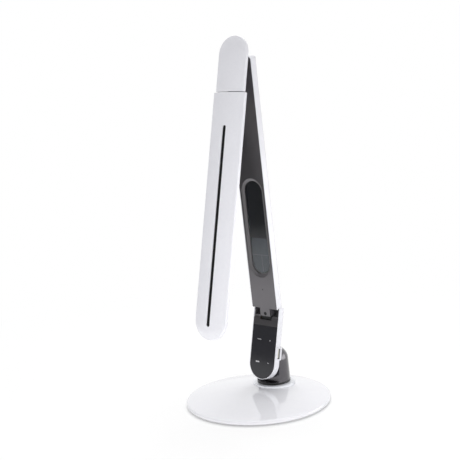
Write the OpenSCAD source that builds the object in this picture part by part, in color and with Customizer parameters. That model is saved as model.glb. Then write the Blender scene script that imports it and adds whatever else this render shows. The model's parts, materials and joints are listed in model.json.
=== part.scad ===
// Folding LED desk lamp: round weighted base, swivelling pedestal, short control segment,
// long arm with a clock display, and a hanging LED head on a short neck.
// X runs along the hinge pins, -Y is the front, Z is up, and the origin is the middle of the
// underside. Each segment is drawn upright about its own pivot and then leaned into place.

/* [Base] */
// Diameter of the round base
base_d = 170; // [150:1:210]
// Height of the rounded rim
rim_h = 5.5; // [5:0.5:8]
// Rise of the domed top above the rim
dome_rise = 9.1; // [8.5:0.1:16]
// Wall of the base shell
base_wall = 2.4; // [1.6:0.1:2.6]
// Height of the rubber foot below the rim
foot_h = 1.2; // [0.8:0.1:2]
// Thickness of the steel ballast
ballast_t = 4.4; // [3:0.1:4.6]
// Thickness of the base plate
plate_t = 1.4; // [1:0.1:1.6]
// Number of base plate screws
base_screw_n = 5; // [3:1:8]

/* [Pedestal] */
// Distance of the pedestal behind the middle of the base
ped_back = 30; // [15:1:40]
// Radius of the pedestal at its foot
ped_foot_r = 19.6; // [18.5:0.1:22]
// Radius of the pedestal under its shoulder
ped_neck_r = 18.4; // [17.5:0.1:20]
// Height of the pedestal
ped_h = 42; // [40:1:46]
// Radius of the rounded shoulder
ped_shoulder_r = 15; // [12:1:16]
// Wall of the pedestal cover
ped_wall = 2; // [1.6:0.1:2.4]
// Outer radius of the trim ring
trim_r = 25.2; // [23:0.1:30]
// Radius of the swivel spindle
spindle_r = 7; // [6:0.1:7.5]
// Height of the tilt axis above the table
tilt_z = 46; // [45:0.5:48]
// Radius of the tilt pin
tilt_pin_r = 3; // [2:0.1:3.5]

/* [Segments] */
// Width of the lower segment and the arm
seg_w = 38; // [36:0.5:44]
// Thickness of the lower segment and the arm
seg_t = 10.4; // [10:0.1:12]
// Wall of the rear shells
seg_wall = 1.6; // [1.2:0.1:1.8]
// Width of the shell rim seen around each front cover
seg_rim = 0.6; // [0.5:0.1:0.9]
// Radius of the rear edges of the shells
seg_round = 3; // [2:0.1:3.4]
// Thickness of the front covers
cover_t = 1.4; // [1:0.1:1.6]
// Length of the lower segment below the elbow pin
lower_l = 72.2; // [68:0.1:73]
// Lean of the lower segment towards the back, in degrees
lower_lean = 13; // [12:0.5:14]
// Distance between the elbow pin and the head pin
arm_l = 303; // [260:1:340]
// Lean of the arm towards the front, in degrees
arm_lean = 4.1; // [3:0.1:6]
// Gap between the trim ring and the lower segment at rest
lower_gap = 6; // [5.5:0.1:9]

/* [Hinges] */
// Half width of the middle knuckles
knuckle_hw = 7.4; // [6:0.1:8]
// Radius of the hinge pins
pin_r = 2.4; // [1.8:0.1:2.8]
// Reach of the elbow housing above its pin
elbow_reach = 14.4; // [13:0.1:16]
// Side play beside each knuckle
side_play = 0.4; // [0.3:0.05:0.6]
// Radial running clearance of pins and spindles
run_fit = 0.05; // [0.02:0.01:0.1]

/* [Clock display] */
// Width of the display ring
ring_w = 32.4; // [28:0.1:33]
// Length of the display ring
ring_l = 118; // [80:1:130]
// Height of the ring's lower end above the elbow pin
ring_z = 52; // [44:1:70]
// Width of the bevel inside the ring
ring_bevel = 3.4; // [2:0.1:4]
// Depth of the glass below the front face
glass_depth = 2; // [1.5:0.1:2.2]
// Length of the lit part of the display
lcd_l = 47; // [35:1:60]

/* [Touch controls] */
// Distance of the touch panel's top edge below the elbow pin
touch_drop = 9; // [8:0.1:12]
// Thickness of the touch panel
touch_t = 0.9; // [0.6:0.1:1]
// Spacing of the touch keys across the panel
key_dx = 16; // [12:0.5:18]
// Height of the lower row of touch keys above the panel's lower end
key_low = 20.2; // [18:0.1:24]
// Spacing of the two rows of touch keys
key_dz = 26.6; // [20:0.1:28]

/* [USB port] */
// Distance of the port's middle below the elbow pin
usb_drop = 39.6; // [36:0.1:44]
// Length of the raised bezel around the port
usb_bezel_l = 15.6; // [15:0.1:18]
// Height of the bezel off the side of the segment
usb_bezel_h = 1.2; // [0.8:0.1:1.6]

/* [Head] */
// Width of the neck
neck_w = 40.6; // [39:0.1:46]
// Width of the LED panel
panel_w = 45.6; // [42:0.1:54]
// Reach of the neck above the head pin
neck_top = 25.8; // [24:0.1:32]
// Distance of the seam below the head pin
seam_drop = 36.6; // [34:0.1:44]
// Reach of the LED panel below the head pin
panel_reach = 313.2; // [270:0.1:350]
// Lean of the head, its lower end to the front, in degrees
head_lean = 12.7; // [12:0.1:20]
// Distance of the head's rim in front of the head pin
rim_off = 11.4; // [11:0.1:12.5]
// Height of the head's straight side walls
side_h = 3.9; // [3.5:0.1:5]
// Height of the crown across the head
crown_h = 3.5; // [3:0.1:4.5]
// Wall of the head's covers
head_wall = 1.8; // [1.4:0.1:2]
// Gap at the twist seam
seam_gap = 0.9; // [0.5:0.1:1.2]
// Width of the long slot in the panel cover
slot_w = 4.6; // [3:0.1:6]
// Distance from the seam to the slot's upper end
slot_top = 36.6; // [20:0.1:60]
// Distance from the slot's lower end to the panel's lower end
slot_end = 15; // [11:0.5:22]

/* [LED module] */
// Width of the diffuser frame
frame_w = 35; // [30:0.5:37]
// Height of the frame below the panel's rim
frame_h = 2.9; // [2:0.1:3.2]
// Distance from the seam to the frame's upper end
frame_top = 9; // [8:0.5:20]
// Distance from the frame's lower end to the panel's lower end
frame_end = 22; // [20:0.5:40]
// Number of LEDs in each of the two rows
led_n = 20; // [10:1:26]

/* [Hidden] */
$fn = 64;

fine = 180;              // sides of the largest rounds
eps = 0.01;              // overlap that makes a cut break a face
big = 400;               // longer than any piece
fit = 0.15;              // gap between a part and the recess that takes it
move_gap = 0.3;          // gap between faces that slide or turn
lay_gap = 0.1;           // gap between a flat part and what it lies on

white = "#f1f1f4";
black = "#1d1d20";
gunmetal = "#5a585b";
dark = "#2c2c30";
steel = "#a9acb1";
brass = "#b79a55";
green = "#2f6b46";
opal = "#f4f2ea";

// Screws
screw_r = 1.3;           // shank
screw_head_r = 2.3;
screw_head_h = 0.9;

// Base
base_r = base_d / 2;
rim_r = rim_h / 2;                              // round of the rim
rim_z = foot_h + rim_r;
rim_top = foot_h + rim_h;
dome_top = rim_top + dome_rise;
dome_edge = base_r - rim_r;                     // where the dome runs into the rim
dome_r = (dome_edge * dome_edge + dome_rise * dome_rise) / (2 * dome_rise);
mouth_r = dome_edge - 1.5;                      // opening under the shell
plate_r = mouth_r - fit;
plate_top = foot_h + plate_t;
foot_w = 6;
foot_r = plate_r - 3;
ballast_r = base_r - 23;
ballast_play = 2;                               // ballast clear of the swivel nut
ballast_gap = 0.6;                              // ballast clear of the screw bosses
ballast_z = plate_top + lay_gap;
boss_r = 3.4;                                   // screw bosses under the shell
boss_ring_r = ballast_r - 2 * boss_r;
screw_grip = 5;                                 // thread that each boss takes
inlet_z = rim_z;
inlet_r = 2.1;
inlet_hw = 3.3;
inlet_y = base_r - 0.8;                         // mouth of the inlet
inlet_l = 18;
inlet_in = inlet_y - inlet_l;                   // its inner end
inlet_wall = 0.3;
inlet_pin_r = 0.6;
inlet_pin_l = 8;
rear_board_hw = 18;
rear_board_l = 13;
rear_board_y = ballast_r - rear_board_l + 2;
rear_board_z = plate_top + 0.5;

// Swivel
seat_z = dome_top + 0.6;                        // seat under the pedestal
seat_r = trim_r - 2.2;
bush_flange_t = 0.8;
bush_flange_r = 2 * spindle_r;
bush_wall = 2.1;
washer_t = 0.8;
bush_low = plate_top + 6.6;
bush_r = spindle_r + run_fit + bush_wall;
ped_z = seat_z + bush_flange_t;                 // underside of the pedestal
trim_top = ped_z - move_gap;
trim_bevel = 0.3;
spindle_low = plate_top + 1.8;
spindle_bore_r = spindle_r - 3;
swivel_play = 0.2;                              // between the bush, the washer and the nut
washer_r = bush_r + 2.4;
nut_r = bush_r + 1.4;
nut_z = spindle_low + 0.2;
nut_h = bush_low - washer_t - 2 * swivel_play - nut_z;

// Pedestal
ped_top = ped_z + ped_h;
shoulder_z = ped_top - ped_shoulder_r;
collar_h = 2.6;                                 // full round collar at the foot
bracket_z = ped_z + move_gap;
bracket_t = 1.2;
bracket_r = ped_foot_r - ped_wall - 1.6;
lug_gap = 8.6;                                  // from the segment's back to the tilt pin
lug_r = 7;
lug_hw = 7;
lug_play = 0.4;
cheek_x = lug_hw + lug_play;                    // inner face of the bracket's cheeks
cheek_t = 2.8;
cheek_r = tilt_pin_r + 2.4;
tilt_pin_hl = cheek_x + cheek_t + 0.5;
tilt_back = 10;                                 // how far the segment tips back
tilt_front = 8;                                 // how far it tips forward
relief_gap = 0.6;                               // from the pedestal's flats to the segment
lug_slot_hw = cheek_x + 0.4;
lug_slot_up = lug_r * cos(lower_lean + tilt_back) + lug_gap * sin(lower_lean + tilt_back) + 1;

// Lower segment, in the frame of the elbow pin
half_t = seg_t / 2;
half_w = seg_w / 2;
cave_hw = half_w - seg_wall;                    // half width inside the rear shells
cave_back = half_t - seg_wall;                  // inner face of the rear wall
cave_round = seg_round - seg_wall + 0.2;
pilot_skin = 0.5;                               // left behind each blind screw hole
face_hw = half_w - seg_rim;                     // half width of the recess for the covers
cover_hw = face_hw - fit;
cover_back = -half_t + cover_t;                 // inner face of the covers
tilt_off = half_t + lug_gap;
lug_plate_h = 16;                               // half height of the plate behind the lug
lug_front = cave_back - 1.8;
lug_screw_dz = 12;
elbow_z = trim_top + lower_gap + lower_l * cos(lower_lean) + half_t * sin(lower_lean);
tilt_s = (elbow_z - tilt_z - tilt_off * sin(lower_lean)) / cos(lower_lean);
elbow_y = ped_back - tilt_off * cos(lower_lean) + tilt_s * sin(lower_lean);
hinge_washer_t = 0.6;
washer_x = knuckle_hw + side_play / 2;          // inner face of the hinge washers
barrel_x = knuckle_hw + side_play + hinge_washer_t; // inner face of the side knuckles
knuckle_r = half_t - 1;
web_y = 0.8;                                    // wall behind the recesses over the knuckles
slot_z = -1.8;                                  // lower edge of the slot under the arm's tongue
pin_hl = cave_hw - 1.2;                         // half length of the elbow pin
touch_proud = 0.4;
touch_hw = face_hw - 0.5;
key_r = 2.4;
key_wall = 0.7;
key_hole_r = key_r + 0.6;
key_z = -lower_l + key_low;
board_y = -1.6;                                 // front of the touch board
board_t = 1;
board_hw = cave_hw - 1;
board_gap = 0.4;
usb_w = 13.2;
usb_h = 5.7;
usb_in_w = 12.4;
usb_in_h = 4.9;
usb_deep = 10.5;
usb_back_t = 1;
usb_tongue_y = 0.1;
usb_tongue_t = 1.9;
usb_bezel_w = 9.4;
usb_bezel_r = 1.2;

// Arm, in the frame of the elbow pin
arm_cut_r = elbow_reach + 0.53;                 // hollow end that clears the elbow housing
arm_top = arm_l + half_t + 0.2;
top_corner = 4.6;                               // corners of the arm's top
tongue_z = 4.3;                                 // lower end of the tongue
tongue_hole_z = 7.4;
tongue_head_r = 2;
tongue_head_h = 0.6;
sensor_r = 0.7;                                 // small round hole below the display
sensor_deep = 0.8;
sensor_drop = 15;
leaf_back = 1.2;
leaf_top = 36;
leaf_seat = cover_back + lay_gap + screw_head_h + 0.1;
leaf_screw_z = [22, 31];
tongue_thread = 0.8;                            // depth of the tongue's thread
leaf_boss_r = 3;
top_slot = 6.6;                                 // slot below the head pin
bracket_low = arm_l - 22;
bracket_top = arm_l - top_slot - 0.4;
bracket_hw = cave_hw - cave_round;
cheek_w = 2.2;                                  // cheeks that hold the head pin
bracket_screw_x = 13;
bracket_screw_z = arm_l - 16;
bracket_front = cave_back - 1.6;
ring_hw = ring_w / 2;
glass_hw = ring_hw - ring_bevel;                // half width of the visible glass
ring_lip = 0.4;
ring_back = -half_t + glass_depth + 0.3;
glass_t = 1;
glass_y = ring_back + lay_gap;
lcd_t = 1.6;
lcd_y = glass_y + glass_t + lay_gap;
lcd_hw = glass_hw - 0.8;
lcd_z = ring_z + ring_bevel + 1.5;
clock_y = lcd_y + lcd_t + lay_gap;
clock_t = 1;
clock_inset = ring_bevel + 0.6;
clock_hw = glass_hw + 1;
clock_chip = 9;                                 // square chip above the display
cell_r = 6.25;
cell_x = 6;
cell_z = ring_z + ring_l - 30;
ribbon_x = -10;
ribbon_hw = 3;
ribbon_t = 0.6;

// Head, in the frame of the head pin
head_y = elbow_y - arm_l * sin(arm_lean);
head_z = elbow_z + arm_l * cos(arm_lean);
wall_top = rim_off + side_h;
crown_off = wall_top + crown_h;
neck_hw = neck_w / 2;
panel_hw = panel_w / 2;
inner_off = rim_off - frame_h;                  // raised face of the diffuser frame
inner_t = 1.4;                                  // flange of the inner covers
flange_off = rim_off + inner_t;
panel_z = -seam_drop - seam_gap;                // upper end of the LED panel
panel_low = -panel_reach;
knuckle_plate_t = 1.2;
neck_screw_x = 11;
neck_screw_z = 7.5;
knuckle_plate_hw = neck_screw_x + 3;
knuckle_plate_hh = neck_screw_z + 3;

// Twist joint, in the frame of the head pin
twist_off = 13.4;                               // twist axis in front of the head pin
twist_r = 2.4;
twist_bore_r = 1.3;
twist_bush_r = twist_r + run_fit + 0.8;
hump_off = twist_off - twist_bush_r - 0.95;     // outer face of the humps over the spindle
hump_hw = twist_bush_r + 2.2;
spindle_up = 15;                                // length held in the neck
boss_top = -seam_drop + spindle_up + 3;
bush_end = panel_z - 5.1;
twist_nut_h = 3.2;
spindle_end = bush_end - twist_nut_h - 0.5;

// LED module, in the frame of the head pin
frame_high = panel_z - frame_top;
frame_low = panel_low + frame_end;
frame_hw = frame_w / 2;
frame_border = 3;
window_hw = frame_hw - frame_border;
window_high = frame_high - frame_border;
window_low = frame_low + frame_border;
lip_t = 1.6;                                    // lip that holds the diffuser
lip_w = 1.2;
diffuser_t = 1.1;
panel_r = (panel_hw * panel_hw + crown_h * crown_h) / (2 * crown_h);
slot_deep = 0.5;                                // insert below the crown
insert_lap = 2;                                 // flange of the slot insert beyond the slot
insert_t = 1.2;
insert_y = -crown_off + head_wall + crown_drop(panel_hw - slot_end + insert_lap) + lay_gap;
spread_y = insert_y + insert_t + lay_gap;
spread_t = 1.2;
led_board_y = spread_y + spread_t + lay_gap;
led_board_t = 1;
led_y = led_board_y + led_board_t + lay_gap;
led_size = 2.8;
led_h = 0.7;
led_pitch = (window_high - window_low - 2 * window_hw) / (led_n - 1);
panel_boss_r = 2.6;
panel_screw_l = 2.8;                            // shank beyond the flange
panel_screw_high = panel_z - 5;
panel_screw_low = panel_low + slot_end - insert_lap - panel_boss_r - 1;

function dome_z(r) = dome_top - dome_r + sqrt(dome_r * dome_r - r * r);
function crown_drop(r) = panel_r - sqrt(panel_r * panel_r - r * r);

// ---- Frames and small helpers ----

module lower_frame() translate([0, elbow_y, elbow_z]) rotate([-lower_lean, 0, 0]) children();
module arm_frame() translate([0, elbow_y, elbow_z]) rotate([arm_lean, 0, 0]) children();
module head_frame() translate([0, head_y, head_z]) rotate([-head_lean, 0, 0]) children();
module ped_frame() translate([0, ped_back, 0]) children();

// A flat outline in X and Z, from y0 at the front to y1 at the back
module slab(y0, y1) rotate([90, 0, 0]) translate([0, 0, -y1]) linear_extrude(y1 - y0) children();
// A section in X and Y, run straight up from z0 to z1
module run(z0, z1) translate([0, 0, z0]) linear_extrude(z1 - z0) children();
// The same section turned about Y into a round end, upwards or downwards from z
module round_end(z, up) translate([0, 0, z]) rotate([90, 0, 0]) rotate([0, 0, up ? 0 : 180])
    rotate_extrude(angle = 180) intersection() {
        mirror([0, 1]) children();
        translate([0, -big / 2]) square([big / 2, big]);
    }
// An outline in Y and Z, run along X
module xslab(x0, x1) translate([x0, 0, 0]) rotate([90, 0, 90]) linear_extrude(x1 - x0) children();
module xrod(r, x0, x1, y = 0, z = 0) translate([x0, y, z]) rotate([0, 90, 0])
    cylinder(r = r, h = x1 - x0);
module yrod(r, y0, y1, x, z) translate([x, y1, z]) rotate([90, 0, 0]) cylinder(r = r, h = y1 - y0);
module zrod(r, z0, z1, x = 0, y = 0) translate([x, y, z0]) cylinder(r = r, h = z1 - z0);
module block(x0, x1, y0, y1, z0, z1) translate([x0, y0, z0]) cube([x1 - x0, y1 - y0, z1 - z0]);
module both_sides() { children(); mirror([1, 0, 0]) children(); }

module stadium(hw, low, high) {
    translate([-hw, low + hw]) square([2 * hw, high - low - 2 * hw]);
    for (z = [low + hw, high - hw]) translate([0, z]) circle(hw);
}
// Flat at one end and round at the other
module tab_down(hw, low, high) {
    translate([-hw, low + hw]) square([2 * hw, high - low - hw]);
    translate([0, low + hw]) circle(hw);
}
module tab_up(hw, low, high) {
    translate([-hw, low]) square([2 * hw, high - low - hw]);
    translate([0, high - hw]) circle(hw);
}
module soft_rect(hx, hy, r) {
    square([2 * hx, 2 * hy - 2 * r], center = true);
    square([2 * hx - 2 * r, 2 * hy], center = true);
    for (x = [-1, 1], y = [-1, 1]) translate([x * (hx - r), y * (hy - r)]) circle(r);
}
// A screw along Y, its head just in front of y0 and its point at y1
module screw(y0, y1) {
    yrod(screw_head_r, y0 - screw_head_h, y0, 0, 0);
    yrod(screw_r, y0 - screw_head_h, y1, 0, 0);
}

// ---- Base ----

module dome_half(inset) intersection() {
    translate([0, dome_top - dome_r]) circle(dome_r - inset, $fn = fine);
    square([dome_edge, dome_top]);
}
module screw_places() for (i = [0:base_screw_n - 1])
    rotate([0, 0, -90 + i * 360 / base_screw_n]) translate([boss_ring_r, 0, 0]) children();

module base_shell() color(white) difference() {
    union() {
        rotate_extrude($fn = fine) difference() {
            union() {
                dome_half(0);
                translate([dome_edge, rim_z]) circle(rim_r);
            }
            square([mouth_r, rim_z]);
            intersection() {
                dome_half(base_wall);
                square([mouth_r, dome_top]);
            }
        }
        ped_frame() zrod(seat_r, dome_top - dome_rise / 2, seat_z);
        ped_frame() zrod(bush_r + 2, bush_low, seat_z);
        screw_places() difference() {
            zrod(boss_r, plate_top, dome_z(boss_ring_r) - base_wall / 2);
            zrod(screw_r + fit, plate_top - eps, plate_top + screw_grip + 1);
        }
    }
    ped_frame() zrod(bush_r + fit, 0, seat_z + eps);
    yrod(inlet_r + fit, inlet_in, base_r + 1, 0, inlet_z);
    block(-inlet_hw - fit, inlet_hw + fit, inlet_in - 1, mouth_r + fit, 0, inlet_z + inlet_hw);
}

module base_ballast() color(steel) difference() {
    zrod(ballast_r, ballast_z, ballast_z + ballast_t);
    ped_frame() zrod(nut_r + ballast_play, 0, big);
    screw_places() zrod(boss_r + ballast_gap, 0, big);
    block(-rear_board_hw - 1, rear_board_hw + 1, rear_board_y - 1, base_r, 0, big);
}

module base_plate() color(black) difference() {
    zrod(plate_r, foot_h, plate_top);
    screw_places() {
        zrod(screw_r + fit, 0, big);
        zrod(screw_head_r + fit, 0, foot_h + screw_head_h);
    }
    block(-inlet_hw - 0.5, inlet_hw + 0.5, inlet_in - 1, base_r, 0, big);
}

module foot_ring() color(dark) difference() {
    zrod(foot_r, 0, foot_h);
    zrod(foot_r - foot_w, -eps, foot_h + eps);
}

module base_screws() color(steel) screw_places() {
    zrod(screw_head_r, foot_h + eps, foot_h + screw_head_h - lay_gap);
    zrod(screw_r, foot_h + eps, plate_top + screw_grip);
}

module trim_ring() color(white) ped_frame() difference() {
    rotate_extrude($fn = fine) polygon([
        [bush_flange_r + 0.4, seat_z], [bush_flange_r + 0.4, trim_top],
        [trim_r - trim_bevel, trim_top], [trim_r, trim_top - trim_bevel],
        [trim_r, rim_top], [seat_r + fit, rim_top], [seat_r + fit, seat_z]
    ]);
    translate([0, -ped_back, dome_top - dome_r]) sphere(dome_r + lay_gap, $fn = fine);
}

module swivel_bush() color("#e8e6dc") ped_frame() difference() {
    union() {
        zrod(bush_r, bush_low, seat_z + eps);
        zrod(bush_flange_r, seat_z, ped_z);
    }
    zrod(spindle_r + run_fit, 0, big);
}

module dc_inlet() color(black) difference() {
    union() {
        block(-inlet_hw, inlet_hw, inlet_in, mouth_r - fit, foot_h + lay_gap, inlet_z + 2.6);
        yrod(inlet_r, mouth_r - 1, inlet_y, 0, inlet_z);
    }
    difference() {
        yrod(inlet_r - inlet_wall, inlet_y - inlet_pin_l - 1, base_r, 0, inlet_z);
        yrod(inlet_pin_r, inlet_y - inlet_pin_l - 1 - eps, inlet_y - 1, 0, inlet_z);
    }
}

module power_board() color(green) {
    translate([0, rear_board_y, rear_board_z]) {
        block(-rear_board_hw, rear_board_hw, 0, rear_board_l, 0, 1.2);
        zrod(2.5, 0, 4.2, -10, 6);
        zrod(3, 0, 3, 9, 6.5);
        block(-3, 3, 3, 9, 0, 2.6);
    }
}

// ---- Pedestal ----

module cup_half(inset) {
    polygon([
        [0, ped_z - eps], [ped_foot_r - inset, ped_z - eps], [ped_foot_r - inset, ped_z + collar_h],
        [ped_neck_r - inset, shoulder_z], [0, shoulder_z]
    ]);
    intersection() {
        translate([ped_neck_r - ped_shoulder_r, shoulder_z]) circle(ped_shoulder_r - inset);
        translate([0, shoulder_z - eps]) square(big);
    }
    translate([0, shoulder_z - eps])
        square([ped_neck_r - ped_shoulder_r, ped_shoulder_r - inset + eps]);
}

// Everything in front of a plane that leans with the segment, about the tilt pin
module ahead(distance, lean) translate([0, 0, tilt_z]) rotate([-lean, 0, 0])
    translate([-big / 2, -big - distance, -big / 2]) cube(big);

module cup_solid(inset, distance) difference() {
    rotate_extrude($fn = 96) cup_half(inset);
    difference() {
        for (lean = [lower_lean + tilt_back, lower_lean - tilt_front]) ahead(distance, lean);
        zrod(big, 0, ped_z + collar_h);
    }
}

module pedestal_cover() color(black) ped_frame() difference() {
    cup_solid(0, lug_gap - relief_gap);
    cup_solid(ped_wall, lug_gap - relief_gap - ped_wall);
    zrod(ped_foot_r - ped_wall, 0, ped_z + collar_h - ped_wall / 2);
    block(-lug_slot_hw, lug_slot_hw, -big / 2, 0, tilt_z - lug_r - 0.6, tilt_z + lug_slot_up);
}

module tilt_bracket() color(steel) ped_frame() difference() {
    union() {
        zrod(bracket_r, bracket_z, bracket_z + bracket_t);
        zrod(spindle_r, spindle_low, bracket_z + eps);
        both_sides() {
            block(cheek_x, cheek_x + cheek_t, -cheek_r, cheek_r, bracket_z + bracket_t - eps, tilt_z);
            xrod(cheek_r, cheek_x, cheek_x + cheek_t, 0, tilt_z);
        }
    }
    zrod(spindle_bore_r, 0, bracket_z + bracket_t + 1);
    xrod(tilt_pin_r + run_fit, -big / 2, big / 2, 0, tilt_z);
}

module swivel_washer() color(steel) ped_frame() difference() {
    zrod(washer_r, bush_low - swivel_play - washer_t, bush_low - swivel_play);
    zrod(spindle_r + run_fit, 0, big);
}

module swivel_nut() color(steel) ped_frame() difference() {
    translate([0, 0, nut_z]) cylinder(r = nut_r, h = nut_h, $fn = 6);
    zrod(spindle_r + run_fit, 0, big);
}

module tilt_pin() color(steel) ped_frame() translate([0, 0, tilt_z])
    xrod(tilt_pin_r, -tilt_pin_hl, tilt_pin_hl);

// ---- Lower segment ----

// Section of a segment from its front face to a rear wall with rounded corners
module bar_section(hw, front, back, r) {
    translate([-hw, front]) square([2 * hw, back - r - front]);
    translate([-hw + r, front]) square([2 * hw - 2 * r, back - front]);
    for (x = [-1, 1]) translate([x * (hw - r), back - r]) circle(r);
}
module shell_section() difference() {
    bar_section(half_w, -half_t, half_t, seg_round);
    bar_section(cave_hw, -half_t - 1, cave_back, cave_round);
    translate([-face_hw, -half_t - 1]) square([2 * face_hw, cover_t + 1]);
}
// Rounds the lower segment's top about the elbow pin
module above_elbow(r) difference() {
    block(-big, big, -big, big, 0, big);
    xrod(r, -big, big);
}

module lower_shell() color(white) lower_frame() difference() {
    union() {
        run(-lower_l + half_w, elbow_reach) shell_section();
        round_end(-lower_l + half_w, false) shell_section();
    }
    above_elbow(elbow_reach);
    block(-barrel_x, barrel_x, -big, big, -half_t - cover_t, big);
    block(-lug_hw - fit, lug_hw + fit, 0, big, -tilt_s - lug_r - fit, -tilt_s + lug_r + fit);
    usb_place() block(-seg_wall - 1, 1, -usb_h / 2 - fit, usb_h / 2 + fit, -usb_w / 2 - fit, usb_w / 2 + fit);
    lug_screw_places() yrod(screw_r + fit, 0, half_t - pilot_skin, 0, 0);
}

module touch_outline(gap) tab_down(touch_hw + gap, -lower_l + half_w - touch_hw - gap, -touch_drop + gap);

module key_places() for (x = [-key_dx / 2, key_dx / 2], z = [key_z, key_z + key_dz])
    translate([x, 0, z]) children();

module lower_cover() color(dark) lower_frame() difference() {
    union() {
        slab(-half_t, cover_back) tab_down(cover_hw, -lower_l + half_w - cover_hw, 0);
        intersection() {
            both_sides() xrod(half_t, barrel_x, cave_hw - fit);
            run(-half_t, half_t) bar_section(cave_hw - fit, -half_t, cave_back - fit, cave_round);
        }
        both_sides() intersection() {
            block(barrel_x, cave_hw - fit, web_y, web_y + cover_t, 0, big);
            xrod(elbow_reach - 0.3, 0, big);
        }
    }
    xrod(pin_r + run_fit, -pin_hl - 0.2, pin_hl + 0.2);
    xrod(half_t + move_gap, -barrel_x, barrel_x);
    block(-barrel_x, barrel_x, -big, big, slot_z, big);
    slab(-half_t - 1, -half_t + touch_t - touch_proud) touch_outline(fit);
    key_places() yrod(key_hole_r, -big / 4, big / 4, 0, 0);
}

module lug_screw_places() for (z = [-lug_screw_dz, lug_screw_dz]) translate([0, 0, -tilt_s + z]) children();

module tilt_lug() color(black) lower_frame() difference() {
    union() {
        block(-lug_hw, lug_hw, lug_front, cave_back - lay_gap, -tilt_s - lug_plate_h, -tilt_s + lug_plate_h);
        block(-lug_hw, lug_hw, cave_back - 1, tilt_off, -tilt_s - lug_r, -tilt_s + lug_r);
        xrod(lug_r, -lug_hw, lug_hw, tilt_off, -tilt_s);
    }
    xrod(tilt_pin_r + run_fit, -big / 2, big / 2, tilt_off, -tilt_s);
    lug_screw_places() yrod(screw_r + fit, 0, big / 4, 0, 0);
}

module touch_panel() color("#232327") lower_frame()
    slab(-half_t - touch_proud, -half_t + touch_t - touch_proud - lay_gap) touch_outline(0);

module touch_board() color(green) lower_frame() difference() {
    slab(board_y, board_y + board_t) tab_down(board_hw, -lower_l + half_w - board_hw, -half_t - 3);
    usb_place() block(-usb_deep - board_gap, big, -big, big, -usb_w / 2 - board_gap, usb_w / 2 + board_gap);
}

module touch_springs() color(brass) lower_frame() key_places() difference() {
    yrod(key_r, -half_t + touch_t - touch_proud, board_y - lay_gap, 0, 0);
    yrod(key_r - key_wall, -big / 4, big / 4, 0, 0);
}

module usb_place() translate([half_w, 0, -usb_drop]) children();
module usb_mouth() soft_rect(usb_in_w / 2, usb_in_h / 2, 0.3);

module usb_bezel() color(white) lower_frame() usb_place() rotate([0, 90, 0]) difference() {
    linear_extrude(usb_bezel_h) soft_rect(usb_bezel_l / 2, usb_bezel_w / 2, usb_bezel_r);
    translate([0, 0, -1]) linear_extrude(big) usb_mouth();
}

module usb_port() color(steel) lower_frame() usb_place() rotate([0, 90, 0]) difference() {
    translate([0, 0, -usb_deep]) linear_extrude(usb_deep - lay_gap) soft_rect(usb_w / 2, usb_h / 2, 0.5);
    translate([0, 0, -usb_deep + usb_back_t]) linear_extrude(big) usb_mouth();
}

module usb_tongue() color(opal) lower_frame() usb_place()
    block(-usb_deep + usb_back_t + lay_gap, -1, usb_tongue_y, usb_tongue_y + usb_tongue_t,
        -usb_in_w / 2 + 0.7, usb_in_w / 2 - 0.7);

module elbow_pin() color(steel) lower_frame() xrod(pin_r, -pin_hl, pin_hl);

module hinge_washer() difference() {
    xrod(knuckle_r - 0.6, washer_x, washer_x + hinge_washer_t);
    xrod(pin_r + run_fit, 0, big);
}

module elbow_washers() color(brass) lower_frame() both_sides() hinge_washer();

module lower_screws() color(steel) lower_frame() lug_screw_places()
    screw(lug_front - lay_gap, half_t - pilot_skin - lay_gap);

// ---- Arm ----

module arm_outline(inset) difference() {
    translate([-half_w + inset, -big / 2]) square([seg_w - 2 * inset, arm_top - inset + big / 2]);
    corner = top_corner - inset;
    for (x = [-1, 1]) translate([x * (half_w - inset), arm_top - inset]) difference() {
        square(2 * corner, center = true);
        translate([-x * corner, -corner]) circle(corner);
    }
}

module leaf_screw_places() for (z = leaf_screw_z) translate([0, 0, z]) children();
module bracket_screw_places() for (x = [-bracket_screw_x, bracket_screw_x])
    translate([x, 0, bracket_screw_z]) children();

module arm_shell() color(white) arm_frame() {
    arm_hollow();
    leaf_screw_places() difference() {
        yrod(leaf_boss_r, leaf_back + lay_gap, cave_back + seg_wall / 2, 0, 0);
        yrod(screw_r + fit, 0, cave_back, 0, 0);
    }
}

module arm_hollow() difference() {
    intersection() {
        run(0, arm_top) bar_section(half_w, -half_t, half_t, seg_round);
        slab(-half_t - 1, half_t + 1) arm_outline(0);
        xslab(-big / 4, big / 4) {
            translate([-half_t, 0]) square([seg_t, arm_top - seg_round]);
            translate([-half_t, 0]) square([seg_t - seg_round, arm_top]);
            translate([half_t - seg_round, arm_top - seg_round]) circle(seg_round);
        }
    }
    intersection() {
        run(0, arm_top) bar_section(cave_hw, -half_t - 1, cave_back, cave_round);
        slab(-half_t - 1, half_t + 1) arm_outline(seg_wall);
        difference() {
            block(-big, big, -big, big, 0, big);
            xrod(arm_cut_r + seg_wall, -big, big);
        }
    }
    slab(-half_t - 1, cover_back) arm_outline(seg_rim);
    xrod(arm_cut_r, -big, big);
    block(-knuckle_hw - fit, knuckle_hw + fit, -big, leaf_back + fit, 0, leaf_top);
    block(-barrel_x, barrel_x, -big, big, arm_l - top_slot, big);
    bracket_screw_places() yrod(screw_r + fit, 0, half_t - pilot_skin, 0, 0);
}

module ring_outline(gap) stadium(ring_hw + gap, ring_z - gap, ring_z + ring_l + gap);

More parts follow.
